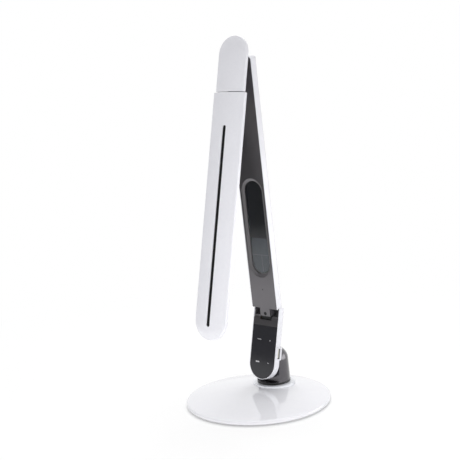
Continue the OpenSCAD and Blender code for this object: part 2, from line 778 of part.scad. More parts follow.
module arm_cover() color(gunmetal) arm_frame() difference() {
    union() {
        difference() {
            intersection() {
                slab(-half_t, cover_back) arm_outline(seg_rim + fit);
                block(-big, big, -big, big, 0, big);
            }
            xrod(arm_cut_r, -big, big);
        }
        block(-knuckle_hw, knuckle_hw, -half_t, cover_back, tongue_z, arm_cut_r + cover_t);
    }
    slab(-half_t - 1, 0) ring_outline(fit);
    yrod(tongue_head_r + fit, -half_t - 1, -half_t + tongue_head_h, 0, tongue_hole_z);
    yrod(screw_r + fit, -half_t - 1, 0, 0, tongue_hole_z);
    yrod(sensor_r, -half_t - 1, -half_t + sensor_deep, 0, ring_z - sensor_drop);
    block(-barrel_x, barrel_x, -big, big, arm_l - top_slot, big);
}

module elbow_knuckle() color(black) arm_frame() difference() {
    union() {
        xrod(knuckle_r, -knuckle_hw, knuckle_hw);
        block(-knuckle_hw, knuckle_hw, cover_back + lay_gap, leaf_back, 0, leaf_top - 0.2);
    }
    xrod(pin_r + run_fit, -big / 2, big / 2);
    yrod(screw_r + fit, -big / 4, tongue_thread, 0, tongue_hole_z);
    leaf_screw_places() {
        yrod(screw_r + fit, -big / 4, big / 4, 0, 0);
        yrod(screw_head_r + fit, -big / 4, leaf_seat, 0, 0);
    }
}

module tongue_screw() color(steel) arm_frame() {
    yrod(tongue_head_r, -half_t + lay_gap, -half_t + tongue_head_h - eps, 0, tongue_hole_z);
    yrod(screw_r, -half_t + lay_gap, tongue_thread - lay_gap, 0, tongue_hole_z);
}

module both_flat() { children(); mirror([1, 0]) children(); }

module ring_section() both_flat() polygon([
    [ring_hw, -half_t], [ring_hw, ring_back], [glass_hw, ring_back], [glass_hw, ring_back - ring_lip]
]);
module display_ring() color("#77757a") arm_frame() {
    run(ring_z + ring_hw, ring_z + ring_l - ring_hw) ring_section();
    round_end(ring_z + ring_l - ring_hw, true) ring_section();
    round_end(ring_z + ring_hw, false) ring_section();
}

module display_glass() color("#2b2d33") arm_frame()
    slab(glass_y, glass_y + glass_t) stadium(ring_hw, ring_z, ring_z + ring_l);

module lcd_module() color("#5d6470") arm_frame()
    slab(lcd_y, lcd_y + lcd_t) stadium(lcd_hw, lcd_z, lcd_z + lcd_l);

module clock_board() color(green) arm_frame() {
    slab(clock_y, clock_y + clock_t) stadium(clock_hw, ring_z + clock_inset, ring_z + ring_l - clock_inset);
    translate([0, 0, lcd_z + lcd_l + clock_chip]) block(-clock_chip / 2, clock_chip / 2,
        lcd_y + move_gap, clock_y + eps, 0, clock_chip);
}

module backup_cell() color(steel) arm_frame()
    yrod(cell_r, clock_y + clock_t + lay_gap, cave_back - lay_gap, cell_x, cell_z);

module arm_ribbon() color("#c9c9c4") arm_frame()
    block(ribbon_x - ribbon_hw, ribbon_x + ribbon_hw, cave_back - lay_gap - ribbon_t,
        cave_back - lay_gap, leaf_top + 4, bracket_low - 2);

module arm_bracket() color(steel) arm_frame() difference() {
    union() {
        block(-bracket_hw, bracket_hw, bracket_front, cave_back - lay_gap, bracket_low, bracket_top);
        both_sides() block(barrel_x, barrel_x + cheek_w, cover_back + move_gap, cave_back - lay_gap,
            bracket_low, arm_l + pin_r + 0.6);
    }
    xrod(pin_r + run_fit, -big / 2, big / 2, 0, arm_l);
    bracket_screw_places() yrod(screw_r + fit, 0, big / 4, 0, 0);
}

module arm_screws() color(steel) arm_frame() {
    leaf_screw_places() screw(leaf_seat - lay_gap, cave_back - lay_gap);
    bracket_screw_places() screw(bracket_front - lay_gap, half_t - pilot_skin - lay_gap);
}

module head_pin() color(steel) arm_frame()
    xrod(pin_r, -barrel_x - cheek_w + lay_gap, barrel_x + cheek_w - lay_gap, 0, arm_l);

module head_washers() color(brass) arm_frame() translate([0, 0, arm_l])
    both_sides() hinge_washer();

// ---- Neck ----

// Section of the head: straight sides and a crown across the front
module crown_section(hw, inset) {
    r = (hw * hw + crown_h * crown_h) / (2 * crown_h);
    intersection() {
        translate([0, -crown_off + r]) circle(r - inset, $fn = fine);
        translate([-hw + inset, -crown_off - 1]) square([2 * (hw - inset), crown_off + 1 - rim_off]);
    }
}
module hood_section(hw) difference() {
    crown_section(hw, 0);
    crown_section(hw, head_wall);
    translate([-hw + head_wall, -rim_off - eps]) square([2 * (hw - head_wall), 1]);
}

module neck_cover() color(white) head_frame() difference() {
    union() {
        run(-seam_drop, neck_top - neck_hw) hood_section(neck_hw);
        round_end(neck_top - neck_hw, true) hood_section(neck_hw);
        run(-seam_drop, -seam_drop + head_wall) crown_section(neck_hw, head_wall / 2);
    }
    zrod(twist_r + fit, -seam_drop - 1, 0, 0, -twist_off);
    block(-hump_hw - fit, hump_hw + fit, -twist_off, 0, -seam_drop - 1, -seam_drop + head_wall + 1);
}

module neck_screw_places() for (x = [-neck_screw_x, neck_screw_x], z = [-neck_screw_z, neck_screw_z])
    translate([x, 0, z]) children();

module neck_base() color(white) head_frame() difference() {
    union() {
        slab(-flange_off, -rim_off) tab_up(neck_hw - head_wall - fit,
            -seam_drop + head_wall + fit, neck_top - head_wall - fit);
        block(-hump_hw, hump_hw, -twist_off, -hump_off, -seam_drop, boss_top);
        block(-hump_hw, hump_hw, -twist_off - twist_r - move_gap, -rim_off,
            -seam_drop + head_wall + fit, boss_top);
    }
    zrod(twist_r + fit, -big, -seam_drop + spindle_up + 1, 0, -twist_off);
    zrod(twist_bore_r, -big, 0, 0, -twist_off);
    block(-knuckle_hw - fit, knuckle_hw + fit, -big, big, -knuckle_r - fit, knuckle_r + fit);
    neck_screw_places() yrod(screw_r + fit, -big / 4, -rim_off - pilot_skin, 0, 0);
}

module head_knuckle() color(black) head_frame() difference() {
    union() {
        xrod(knuckle_r, -knuckle_hw, knuckle_hw);
        block(-knuckle_hw, knuckle_hw, -flange_off - knuckle_plate_t, 0, -knuckle_r, knuckle_r);
        block(-knuckle_plate_hw, knuckle_plate_hw, -flange_off - knuckle_plate_t, -flange_off - lay_gap,
            -knuckle_plate_hh, knuckle_plate_hh);
    }
    xrod(pin_r + run_fit, -big / 2, big / 2);
    neck_screw_places() yrod(screw_r + fit, -big / 4, 0, 0, 0);
}

module twist_spindle() color(steel) head_frame() difference() {
    zrod(twist_r, spindle_end, -seam_drop + spindle_up, 0, -twist_off);
    zrod(twist_bore_r, -big, big, 0, -twist_off);
}

module neck_screws() color(steel) head_frame() neck_screw_places()
    screw(-flange_off - knuckle_plate_t - lay_gap, -rim_off - pilot_skin - lay_gap);

// ---- LED panel ----

module slot_outline(gap) stadium(slot_w / 2 + gap, panel_low + slot_end - gap, panel_z - slot_top + gap);

module panel_screw_places() {
    for (x = [-neck_screw_x, neck_screw_x]) translate([x, 0, panel_screw_high]) children();
    translate([0, 0, panel_screw_low]) children();
}

module panel_cover() color(white) head_frame() difference() {
    union() {
        run(panel_low + panel_hw, panel_z) hood_section(panel_hw);
        round_end(panel_low + panel_hw, false) hood_section(panel_hw);
        run(panel_z - head_wall, panel_z) crown_section(panel_hw, head_wall / 2);
        panel_screw_places() yrod(panel_boss_r, -crown_off + head_wall, -flange_off - lay_gap, 0, 0);
    }
    slab(-crown_off - 1, -rim_off) slot_outline(0);
    zrod(twist_bush_r + fit, panel_z - head_wall - 1, 0, 0, -twist_off);
    block(-hump_hw - fit, hump_hw + fit, -twist_off, 0, panel_z - head_wall - 1, panel_z + 1);
    panel_screw_places() yrod(screw_r + fit, -flange_off - panel_screw_l - fit, 0, 0, 0);
}

module slot_insert() color(black) head_frame() {
    slab(-crown_off + slot_deep, insert_y + eps) slot_outline(-fit);
    slab(insert_y, insert_y + insert_t) slot_outline(insert_lap);
}

module heat_spreader() color("#c4c7cb") head_frame()
    slab(spread_y, spread_y + spread_t) stadium(frame_hw - 1.5, frame_low + 1, frame_high - 1);

module led_board() color("#eeeeea") head_frame()
    slab(led_board_y, led_board_y + led_board_t) stadium(window_hw - 1, window_low + 1, window_high - 1);

module leds() color("#efe6a8") head_frame() for (x = [-1, 1], i = [0:led_n - 1])
    translate([x * window_hw / 2, led_y, window_high - window_hw - i * led_pitch])
        block(-led_size / 2, led_size / 2, 0, led_h, -led_size / 2, led_size / 2);

module diffuser_frame() color(white) head_frame() difference() {
    union() {
        slab(-flange_off, -rim_off) tab_down(panel_hw - head_wall - fit,
            panel_low + head_wall + fit, panel_z - head_wall - fit);
        slab(-flange_off, -inner_off) stadium(frame_hw, frame_low, frame_high);
        block(-hump_hw, hump_hw, -twist_off, -hump_off, frame_high - frame_hw / 2, panel_z);
    }
    slab(-big / 4, 0) stadium(window_hw, window_low, window_high);
    slab(-big / 4, -inner_off - lip_t) stadium(window_hw + lip_w, window_low - lip_w, window_high + lip_w);
    zrod(twist_bush_r + fit, spindle_end - 0.3, 0, 0, -twist_off);
    panel_screw_places() {
        yrod(screw_head_r + fit, -rim_off - screw_head_h, 0, 0, 0);
        yrod(screw_r + fit, -big / 4, 0, 0, 0);
    }
}

module diffuser() color(opal) head_frame() {
    slab(-inner_off - lip_t - lay_gap, -inner_off - move_gap)
        stadium(window_hw - fit, window_low + fit, window_high - fit);
    slab(-inner_off - lip_t - diffuser_t, -inner_off - lip_t - lay_gap)
        stadium(window_hw + lip_w - fit, window_low - lip_w + fit, window_high + lip_w - fit);
}

module twist_bush() color(brass) head_frame() difference() {
    zrod(twist_bush_r, bush_end, panel_z - lay_gap, 0, -twist_off);
    zrod(twist_r + run_fit, -big, big, 0, -twist_off);
}

module twist_nut() color(steel) head_frame() difference() {
    translate([0, -twist_off, bush_end - swivel_play - twist_nut_h])
        cylinder(r = twist_bush_r, h = twist_nut_h, $fn = 6);
    zrod(twist_r + run_fit, -big, big, 0, -twist_off);
}

module panel_screws() color(steel) head_frame() panel_screw_places() mirror([0, 1, 0])
    screw(rim_off + screw_head_h - lay_gap, flange_off + panel_screw_l);

base_shell();
base_ballast();
base_plate();
foot_ring();
base_screws();
trim_ring();
swivel_bush();
dc_inlet();
power_board();
pedestal_cover();
tilt_bracket();
swivel_washer();
swivel_nut();
tilt_pin();
lower_shell();
lower_cover();
tilt_lug();
touch_panel();
touch_board();
touch_springs();
usb_bezel();
usb_port();
usb_tongue();
elbow_pin();
elbow_washers();
lower_screws();
arm_shell();
arm_cover();
elbow_knuckle();
tongue_screw();
display_ring();
display_glass();
lcd_module();
clock_board();
backup_cell();
arm_ribbon();
arm_bracket();
arm_screws();
head_pin();
head_washers();
neck_cover();
neck_base();
head_knuckle();
twist_spindle();
neck_screws();
panel_cover();
slot_insert();
heat_spreader();
led_board();
leds();
diffuser_frame();
diffuser();
twist_bush();
twist_nut();
panel_screws();
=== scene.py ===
"""The looks of a folding LED desk lamp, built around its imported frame.

Each sub-assembly of the lamp is a class that takes its places from the frame, makes its
visible shells as meshes and dresses every piece in a procedural finish.
"""

import json
import logging
import math
from dataclasses import dataclass, field, replace
from enum import Enum
from typing import Callable, Sequence

import bmesh
import bpy
from bmesh.types import BMEdge, BMesh
from bpy.types import ID, Material, Mesh, Node, NodeSocket, NodeTree, Object, bpy_prop_collection
from mathutils import Matrix, Vector


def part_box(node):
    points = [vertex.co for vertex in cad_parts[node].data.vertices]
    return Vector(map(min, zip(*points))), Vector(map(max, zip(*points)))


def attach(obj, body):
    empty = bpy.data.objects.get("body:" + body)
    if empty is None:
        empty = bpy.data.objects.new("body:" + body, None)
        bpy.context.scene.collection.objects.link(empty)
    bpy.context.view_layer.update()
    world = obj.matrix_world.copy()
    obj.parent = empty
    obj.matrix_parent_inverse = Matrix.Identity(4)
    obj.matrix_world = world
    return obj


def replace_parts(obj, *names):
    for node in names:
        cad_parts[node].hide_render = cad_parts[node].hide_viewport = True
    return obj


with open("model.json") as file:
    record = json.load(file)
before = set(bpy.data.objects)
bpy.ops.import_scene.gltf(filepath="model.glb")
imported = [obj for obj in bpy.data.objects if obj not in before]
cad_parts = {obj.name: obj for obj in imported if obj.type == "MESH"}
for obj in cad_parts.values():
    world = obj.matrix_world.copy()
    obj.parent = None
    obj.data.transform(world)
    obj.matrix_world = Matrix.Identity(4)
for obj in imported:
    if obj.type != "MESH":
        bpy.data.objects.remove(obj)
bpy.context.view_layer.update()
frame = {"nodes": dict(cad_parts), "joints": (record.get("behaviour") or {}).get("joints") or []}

MM = 0.001
# The angle in degrees from which an edge stays sharp in shading.
SHARP_FROM = 32.0
# A screw's cross recess: its width, and its whole reach, as shares of the head's radius, and
# how far its cutter lies above the head's middle, as a share of the head's height.
RECESS_WIDTH = 0.3
RECESS_REACH = 1.3
RECESS_LIFT = 0.55
# The width of the camera's sensor in mm, and of its frame in pixels.
SENSOR = 36.0
FRAME = 460.0
log = logging.getLogger("lamp")

Point = tuple[float, float]
Point3 = tuple[float, float, float]
# A place along a hood: its height, and the way out from the middle in x and z.
Station = tuple[float, Point]
LEFT, RIGHT = (-1.0, 0.0), (1.0, 0.0)
# The sockets of a map range, in order.
RANGE = ("Value", "From Min", "From Max", "To Min", "To Max")


# ---- Node trees ----


def linear(code: str) -> tuple[float, float, float, float]:
    """Turns an sRGB hex colour to linear.

    Args:
        code: The colour as "#rrggbb".

    Returns:
        Linear red, green and blue, with an alpha of 1.
    """
    parts = (int(code[i : i + 2], 16) / 255 for i in (1, 3, 5))
    colour = (c / 12.92 if c <= 0.04045 else ((c + 0.055) / 1.055) ** 2.4 for c in parts)
    return (*colour, 1.0)


def add(tree: NodeTree, kind: str, settings: dict | None = None) -> Node:
    """Adds a node with its settings and links.

    Args:
        tree: The node tree that gets the node.
        kind: The node's type name.
        settings: Values for its properties, and for its input sockets by name or number. A
            socket is linked from a node's first output, an output socket, or a list of them.

    Returns:
        The new node.
    """
    node = tree.nodes.new(kind)
    for key, value in (settings or {}).items():
        sources = value if isinstance(value, list) else [value]
        if isinstance(sources[0], (Node, NodeSocket)):
            for source in sources:
                tree.links.new(getattr(source, "outputs", [source])[0], node.inputs[key])
        elif isinstance(key, str) and hasattr(node, key):
            setattr(node, key, value)
        else:
            node.inputs[key].default_value = value
    return node


# ---- Finishes ----


class Texture(Enum):
    """How a finish's surface was made, which decides its pattern."""

    ORANGE_PEEL = "moulded and polished, with a faint long ripple"
    GRAIN = "moulded against a spark-eroded tool, with a fine matt grain"
    BRUSHED = "drawn or brushed along the piece"
    FLAKE = "painted with metal flake"
    SPECKLE = "mottled, as foil, rubber or board is"


# How many finer noises each pattern adds, and how far a brushed one is drawn out.
OCTAVES = {
    Texture.ORANGE_PEEL: 1.0, Texture.GRAIN: 3.0, Texture.SPECKLE: 6.0, Texture.BRUSHED: 4.0
}
BRUSH_STRETCH = 0.02
COAT_ROUGHNESS = 0.03
# The index of ABS, acrylic, nylon, ink and rubber alike; a metal keeps the default.
PLASTIC_IOR = 1.5


@dataclass(frozen=True)
class Finish:
    """A surface finish: its colours, its gloss and the pattern that its making leaves.

    Args:
        name: The material's common name and how it was made.
        slot: The record's material slot that it stands for; not used.
        colour: Its main colour.
        second: The colour that the pattern mixes in.
        roughness: Its middle roughness.
        spread: How far the pattern moves the roughness.
        texture: The pattern.
        pitch: The pattern's spacing in mm.
        depth: The pattern's depth in mm.
        metallic: 1 for a metal.
        specular: How much of the plain reflection shows, 0.5 for all of it.
        coat: Weight of a clear coat.
        transmission: 1 for a clear material.
    """

    name: str
    slot: str
    colour: str
    second: str
    roughness: float
    spread: float = 0.03
    texture: Texture = Texture.ORANGE_PEEL
    pitch: float = 2.0
    depth: float = 0.002
    metallic: float = 0.0
    specular: float = 0.5
    coat: float = 0.0
    transmission: float = 0.0

    def pattern(self, tree: NodeTree) -> Node:
        """Adds the nodes of the pattern.

        Args:
            tree: The material's node tree.

        Returns:
            The node whose first output gives the pattern, from 0 to 1.
        """
        place = add(tree, "ShaderNodeTexCoord").outputs["Object"]
        settings = {"Scale": 1 / (self.pitch * MM), "Vector": place}
        if self.texture is Texture.FLAKE:
            return add(tree, "ShaderNodeTexVoronoi", settings)
        settings["Detail"] = OCTAVES[self.texture]
        if self.texture is Texture.BRUSHED:
            drawn = {"Scale": (1, 1, BRUSH_STRETCH), "Vector": place}
            settings |= {"Vector": add(tree, "ShaderNodeMapping", drawn), "Roughness": 0.6}
        return add(tree, "ShaderNodeTexNoise", settings)

    def material(self) -> Material:
        """Makes the material, or finds it where it is made already.

        Returns:
            The material, named for the finish.
        """
        made = bpy.data.materials.get(self.name)
        if made:
            return made
        made = bpy.data.materials.new(self.name)
        made.use_nodes = True
        tree = made.node_tree
        tree.nodes.clear()
        fac = self.pattern(tree)
        mixed = {"data_type": "RGBA", 0: fac, 6: linear(self.colour), 7: linear(self.second)}
        low, high = max(self.roughness - self.spread, 0.01), self.roughness + self.spread
        settings = {
            "Base Color": add(tree, "ShaderNodeMix", mixed).outputs[2],
            "Roughness": add(
                tree, "ShaderNodeMapRange", {"Value": fac, "To Min": low, "To Max": high}
            ),
            "Normal": add(tree, "ShaderNodeBump", {"Distance": self.depth * MM, "Height": fac}),
            "Metallic": self.metallic, "Coat Weight": self.coat, "Coat Roughness": COAT_ROUGHNESS,
            "Transmission Weight": self.transmission,
        }
        if not self.metallic:
            settings |= {"IOR": PLASTIC_IOR, "Specular IOR Level": self.specular}
        shader = add(tree, "ShaderNodeBsdfPrincipled", settings)
        add(tree, "ShaderNodeOutputMaterial", {"Surface": shader})
        return made


# ABS moulded in a polished tool: white with a slightly cool cast, and a clear soft reflection.
WHITE_ABS = Finish(
    "white gloss ABS, moulded", "white_abs", "#e9e9ee", "#e4e4ea", 0.24, 0.02, pitch=3.0
)
# The same ABS with a lacquer: the base mirrors what stands on it.
WHITE_LACQUER = Finish(
    "white lacquered ABS", "white_abs", "#e8e8ec", "#e5e5ea", 0.06, 0.01, coat=0.5, pitch=6.0,
    depth=0.001,
)
# Clear-coated white moulding, glossier than the shells.
CLEAR_WHITE = Finish(
    "pearl white ABS, polished", "clear_white", "#eceef2", "#e2e4ea", 0.1, 0.02, coat=0.5
)
# ABS from a spark-eroded tool: black with a broad sheen.
BLACK_ABS = Finish(
    "black satin ABS, moulded", "black_abs", "#0b0b0c", "#111112", 0.3, 0.05, Texture.GRAIN, 0.5,
    0.006,
)
# The pedestal's darker flake lacquer: near black, with a broad satin sheen.
GRAPHITE = Finish(
    "graphite flake lacquer on ABS", "black_abs", "#59575b", "#545256", 0.24, 0.03, Texture.FLAKE,
    0.18, 0.001, metallic=0.8, coat=0.6,
)
# ABS sprayed with a metal-flake lacquer: a dark grey that lightens where it catches the room.
GUNMETAL = Finish(
    "gunmetal flake lacquer on ABS", "gunmetal_cover", "#6d6b6e", "#676568", 0.34, 0.03,
    Texture.FLAKE, 0.18, 0.001, metallic=0.92,
)
# The same lacquer over the lower face's darker ABS.
LOWER_FACE = replace(GUNMETAL, name="gunmetal flake lacquer on dark ABS", slot="dark_abs")
# Dark grey ABS on the films and blocks that stand in for the shade inside the hinge: painted
# shade.
SHADE_ABS = Finish(
    "dark ABS as painted hinge shade", "dark_abs", "#4c4a4e", "#525054", 0.45, 0.04, Texture.GRAIN, 0.5,
    0.006, specular=0.4,
)
# Acrylic printed black on its back: a flat dark mirror.
TOUCH_ACRYLIC = Finish(
    "black back-printed acrylic", "touch_black", "#25252a", "#28282c", 0.14, 0.02, pitch=4.0,
    depth=0.001,
)
# Zinc-plated steel: a bright, slightly cloudy metal.
ZINC = Finish(
    "zinc-plated steel", "steel", "#b9bcc0", "#a2a6ac", 0.32, 0.08, Texture.SPECKLE, 1.2, 0.004,
    metallic=1.0,
)
# Turned brass: warm, with fine tool marks.
BRASS = Finish(
    "turned brass", "brass", "#c9a65c", "#b08e48", 0.28, 0.06, Texture.BRUSHED, 0.2, 0.003,
    metallic=1.0,
)
# Natural rubber with talc in it: dull dark grey.
RUBBER = Finish(
    "black rubber, moulded", "rubber", "#2a2a2b", "#333334", 0.75, 0.08, Texture.SPECKLE, 0.8, 0.02
)
# Glass-fibre board under a solder mask: green with the cloth showing faintly.
BOARD = Finish(
    "green solder mask on glass-fibre board", "circuit_green", "#23633f", "#1b5234", 0.4, 0.06,
    Texture.SPECKLE, 1.0, 0.01,
)
# Nylon: a translucent off-white with a dull skin.
NYLON = Finish(
    "natural nylon, moulded", "nylon", "#e6e3d8", "#ddd9cc", 0.45, 0.05, Texture.GRAIN, 0.8, 0.01
)
# Smoked acrylic window: clear enough for the display behind to show.
WINDOW = Finish(
    "smoked acrylic window", "display_glass", "#c4c6c9", "#c0c2c5", 0.04, 0.01, transmission=1.0,
    pitch=5.0, depth=0.0005,
)
# The window's back is printed black round the display.
PRINT_MASK = Finish(
    "black printing ink on acrylic", "display_glass", "#525356", "#56575a", 0.5, 0.05,
    Texture.GRAIN, 0.4, 0.001,
)
# Unlit liquid-crystal cell: a grey-blue matt film.
LCD = Finish(
    "unlit liquid-crystal cell", "lcd", "#8f979f", "#869098", 0.35, 0.04, Texture.GRAIN, 0.6, 0.001
)
# The bevelled surround is lacquered as the arm's face is, a little lighter.
SURROUND = Finish(
    "grey flake lacquer on ABS", "display_ring", "#787679", "#706e71", 0.3, 0.03, Texture.FLAKE,
    0.18, 0.001, metallic=0.7,
)
# Flat cable: pale polyester film over copper strips.
RIBBON = Finish(
    "polyester ribbon cable", "ribbon", "#cfcdc6", "#bdbab2", 0.4, 0.05, Texture.BRUSHED, 1.0, 0.01
)
# Rolled aluminium sheet: pale metal with its rolling lines along the panel.
ALUMINIUM = Finish(
    "rolled aluminium sheet", "aluminium", "#c9cbce", "#bcbfc3", 0.3, 0.06, Texture.BRUSHED, 0.3,
    0.003, metallic=1.0,
)
# White solder mask on an aluminium core.
LED_BOARD = Finish(
    "white solder mask on aluminium core", "board_white", "#e8e8e4", "#dddfdb", 0.35, 0.05,
    Texture.SPECKLE, 1.0, 0.005,
)
# Phosphor in silicone over each chip: a yellow dome.
PHOSPHOR = Finish(
    "yellow phosphor in silicone", "led", "#e8d27a", "#e2c765", 0.3, 0.05, Texture.GRAIN, 0.4,
    0.005,
)
# Opal acrylic: milky white that hides the chips.
OPAL = Finish(
    "opal acrylic sheet", "opal", "#f0efea", "#ebeae4", 0.3, 0.04, Texture.GRAIN, 1.5, 0.002
)
# Die-cast zinc in a black powder coat.
BLACK_METAL = Finish(
    "black powder coat on die-cast zinc", "black_metal", "#131314", "#19191b", 0.5, 0.06,
    Texture.SPECKLE, 0.5, 0.01, specular=0.3,
)
# Steel screw in a black oxide: almost black, with a dull metal edge.
BLACK_OXIDE = Finish(
    "black-oxide steel", "steel", "#141416", "#1b1b1d", 0.4, 0.06, Texture.SPECKLE, 0.6, 0.004,
    metallic=0.6,
)
# Pale ink of the touch marks.
PALE_INK = Finish(
    "pale grey printing ink", "touch_black", "#c9c9cc", "#b9b9bd", 0.4, 0.05, Texture.GRAIN, 0.3,
    0.001,
)


# ---- Mesh tools ----


def finished(mesh: Mesh) -> Mesh:
    """Shades a mesh smooth, apart from its edges.

    Args:
        mesh: The mesh.

    Returns:
        The same mesh.
    """
    mesh.shade_smooth()
    mesh.set_sharp_from_angle(angle=math.radians(SHARP_FROM))
    return mesh


def shown(name: str, data: ID) -> Object:
    """Links an object of a mesh, light or camera to the scene.

    Args:
        name: The object's name.
        data: What it shows.

    Returns:
        The object.
    """
    made = bpy.data.objects.new(name, data)
    bpy.context.scene.collection.objects.link(made)
    return made


def solid(name: str, bm: BMesh) -> Object:
    """Makes an object of a mesh under work.

    Args:
        name: The object's name.
        bm: The mesh under work, which is freed.

    Returns:
        The object, shaded and linked to the scene.
    """
    mesh = bpy.data.meshes.new(name)
    bm.to_mesh(mesh)
    bm.free()
    return shown(name, finished(mesh))


def piece(name: str, bm: BMesh, place: Matrix) -> Object:
    """Makes an object of a mesh under work, with faces outwards and its place in its mesh.

    Args:
        name: The object's name.
        bm: The mesh under work, which is freed.
        place: A matrix from its own units to the row frame.

    Returns:
        The object, linked to the scene.
    """
    bmesh.ops.remove_doubles(bm, verts=bm.verts, dist=1e-4)
    bmesh.ops.recalc_face_normals(bm, faces=bm.faces)
    bm.transform(place)
    return solid(name, bm)


def settle(made: Object) -> Object:
    """Turns an object's modifiers into plain mesh.

    Args:
        made: The object.

    Returns:
        The same object, with no modifier left.
    """
    graph = bpy.context.evaluated_depsgraph_get()
    result = bpy.data.meshes.new_from_object(made.evaluated_get(graph))
    made.modifiers.clear()
    made.data = result
    return made


def combine(body: Object, tool: Object) -> Object:
    """Cuts one object with another, which is used up.

    Args:
        body: The object that stays.
        tool: The object that is cut away.

    Returns:
        The body.
    """
    cut = body.modifiers.new("cut", "BOOLEAN")
    cut.operation, cut.solver, cut.object = "DIFFERENCE", "EXACT", tool
    settle(body)
    bpy.data.objects.remove(tool)
    return body


def soften(
    made: Object, width: float, chosen: Callable[[BMEdge], bool], least: float = 30.0
) -> Object:
    """Rounds an object's sharp edges, as a mould or a tumbler leaves them.

    Args:
        made: The object, in metres.
        width: How far each round reaches, in mm.
        chosen: Which of the sharp edges are rounded.
        least: The angle in degrees from which an edge is sharp.

    Returns:
        The same object.
    """
    bm = bmesh.new()
    bm.from_mesh(made.data)
    sharp = (e for e in bm.edges if e.is_manifold and e.calc_face_angle(0) > math.radians(least))
    settings = {"offset": width * MM, "segments": 2, "profile": 0.5, "affect": "EDGES"}
    bmesh.ops.bevel(bm, geom=[e for e in sharp if chosen(e)], clamp_overlap=True, **settings)
    bm.to_mesh(made.data)
    bm.free()
    finished(made.data)
    return made


def moulded(node: str, width: float, broad: float) -> Object:
    """Makes a piece from a CAD node, with its edges rounded.

    Args:
        node: The CAD node that it follows and replaces.
        width: How far each round reaches, in mm.
        broad: An edge is rounded where both its faces are at least this large, in mm2.

    Returns:
        The piece, which replaces the node.
    """
    bm = bmesh.new()
    bm.from_mesh(frame["nodes"][node].data)
    bmesh.ops.remove_doubles(bm, verts=bm.verts, dist=0.003 * MM)
    flat = math.radians(0.3)
    bmesh.ops.dissolve_limit(bm, angle_limit=flat, verts=bm.verts, edges=bm.edges)
    made = solid(node + "_skin", bm)
    limit = broad * MM * MM
    soften(made, width, lambda edge: all(f.calc_area() >= limit for f in edge.link_faces))
    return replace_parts(made, node)


def even_normals(made: Object) -> Object:
    """Weighs an object's normals by face area, so that flat faces stay flat beside rounds.

    Args:
        made: The object.

    Returns:
        The same object.
    """
    made.modifiers.new("weigh", "WEIGHTED_NORMAL").keep_sharp = True
    return settle(made)


def arc(centre: Point, radius: float, start: float, end: float, steps: int) -> list[Point]:
    """Points on a round.

    Args:
        centre: Its centre.
        radius: Its radius.
        start: The angle of its first point, in degrees.
        end: The angle of its last point.
        steps: How many points follow the first.

    Returns:
        The points, from start to end.
    """
    angles = (math.radians(start + (end - start) * i / steps) for i in range(steps + 1))
    return [(centre[0] + radius * math.cos(a), centre[1] + radius * math.sin(a)) for a in angles]


def prism(
    name: str, outline: Sequence[Point], start: float, end: float, place: Matrix, along: int = 1
) -> Object:
    """A solid with an outline in a face's plane, or in the side plane.

    Args:
        name: The object's name.
        outline: The outline's x and z in mm, or its y and z where it is drawn along x.
        start: Where it starts along the third axis.
        end: Where it ends.
        place: The frame that it lies in.
        along: The axis that it is drawn along: 0 for x, 1 for y.

    Returns:
        The object.
    """
    bm = bmesh.new()
    rims = []
    for depth in (start, end):
        spots = ((depth, a, z) if along == 0 else (a, depth, z) for a, z in outline)
        rims.append([bm.verts.new(spot) for spot in spots])
    near, far = rims
    bm.faces.new(near)
    bm.faces.new(far[::-1])
    for i in range(len(outline)):
        j = (i + 1) % len(outline)
        bm.faces.new((near[i], far[i], far[j], near[j]))
    return piece(name, bm, place)


def rod(name: str, radius: float, start: Point3, end: Point3, place: Matrix) -> Object:
    """A round bar between two points, as a drill leaves its hole.

    Args:
        name: The object's name.
        radius: Its radius in mm.
        start: One end, in mm.
        end: The other end.
        place: The frame that it lies in.

    Returns:
        The object.
    """
    way = Vector(end) - Vector(start)
    turn = Vector((0, 0, 1)).rotation_difference(way).to_matrix().to_4x4()
    middle = Matrix.Translation((Vector(start) + Vector(end)) / 2)
    bm = bmesh.new()
    size = {"radius1": radius, "radius2": radius, "depth": way.length}
    bmesh.ops.create_cone(bm, cap_ends=True, segments=64, matrix=middle @ turn, **size)
    return piece(name, bm, place)


def printed(
    name: str, marks: Sequence[tuple[Point, Point]], front: float, depth: float, place: Matrix
) -> Object:
    """Thin printed bars on a face.

    Args:
        name: The object's name.
        marks: Each bar's middle and its width and height, in mm.
        front: The y of their middle.
        depth: Their thickness.
        place: The frame that they lie in.

    Returns:
        One object that holds them all.
    """
    bm = bmesh.new()
    for (x, z), (width, height) in marks:
        size = Matrix.Diagonal((width, depth, height, 1))
        bmesh.ops.create_cube(bm, size=1, matrix=Matrix.Translation((x, front, z)) @ size)
    return piece(name, bm, place)


def mouth(radius: float, span: Point) -> list[Point]:
    """The top of a round hinge mouth in the side plane, between two depths."""
    return [p for p in arc((0, 0), radius, 120, 60, 48) if span[0] < p[0] < span[1]]


# ---- Geometry Nodes ----


def grow(name: str, tree: NodeTree, sizes: dict[str, float], points: Sequence[Vector]) -> Object:
    """Runs a geometry tree on a row of points and keeps its result as a plain mesh.

    Args:
        name: The object's name.
        tree: The tree.
        sizes: A value for each of its named inputs.
        points: The points that it starts from, in metres.

    Returns:
        The object, with no modifier left.
    """
    mesh = bpy.data.meshes.new(name)
    edges = [(i, i + 1) for i in range(len(points) - 1)]
    mesh.from_pydata([tuple(p) for p in points], edges, [])
    made = shown(name, mesh)
    run = made.modifiers.new("grow", "NODES")
    run.node_group = tree
    for socket in tree.interface.items_tree:
        if socket.in_out == "INPUT" and socket.name in sizes:
            run[socket.identifier] = sizes[socket.name]
    return settle(made)


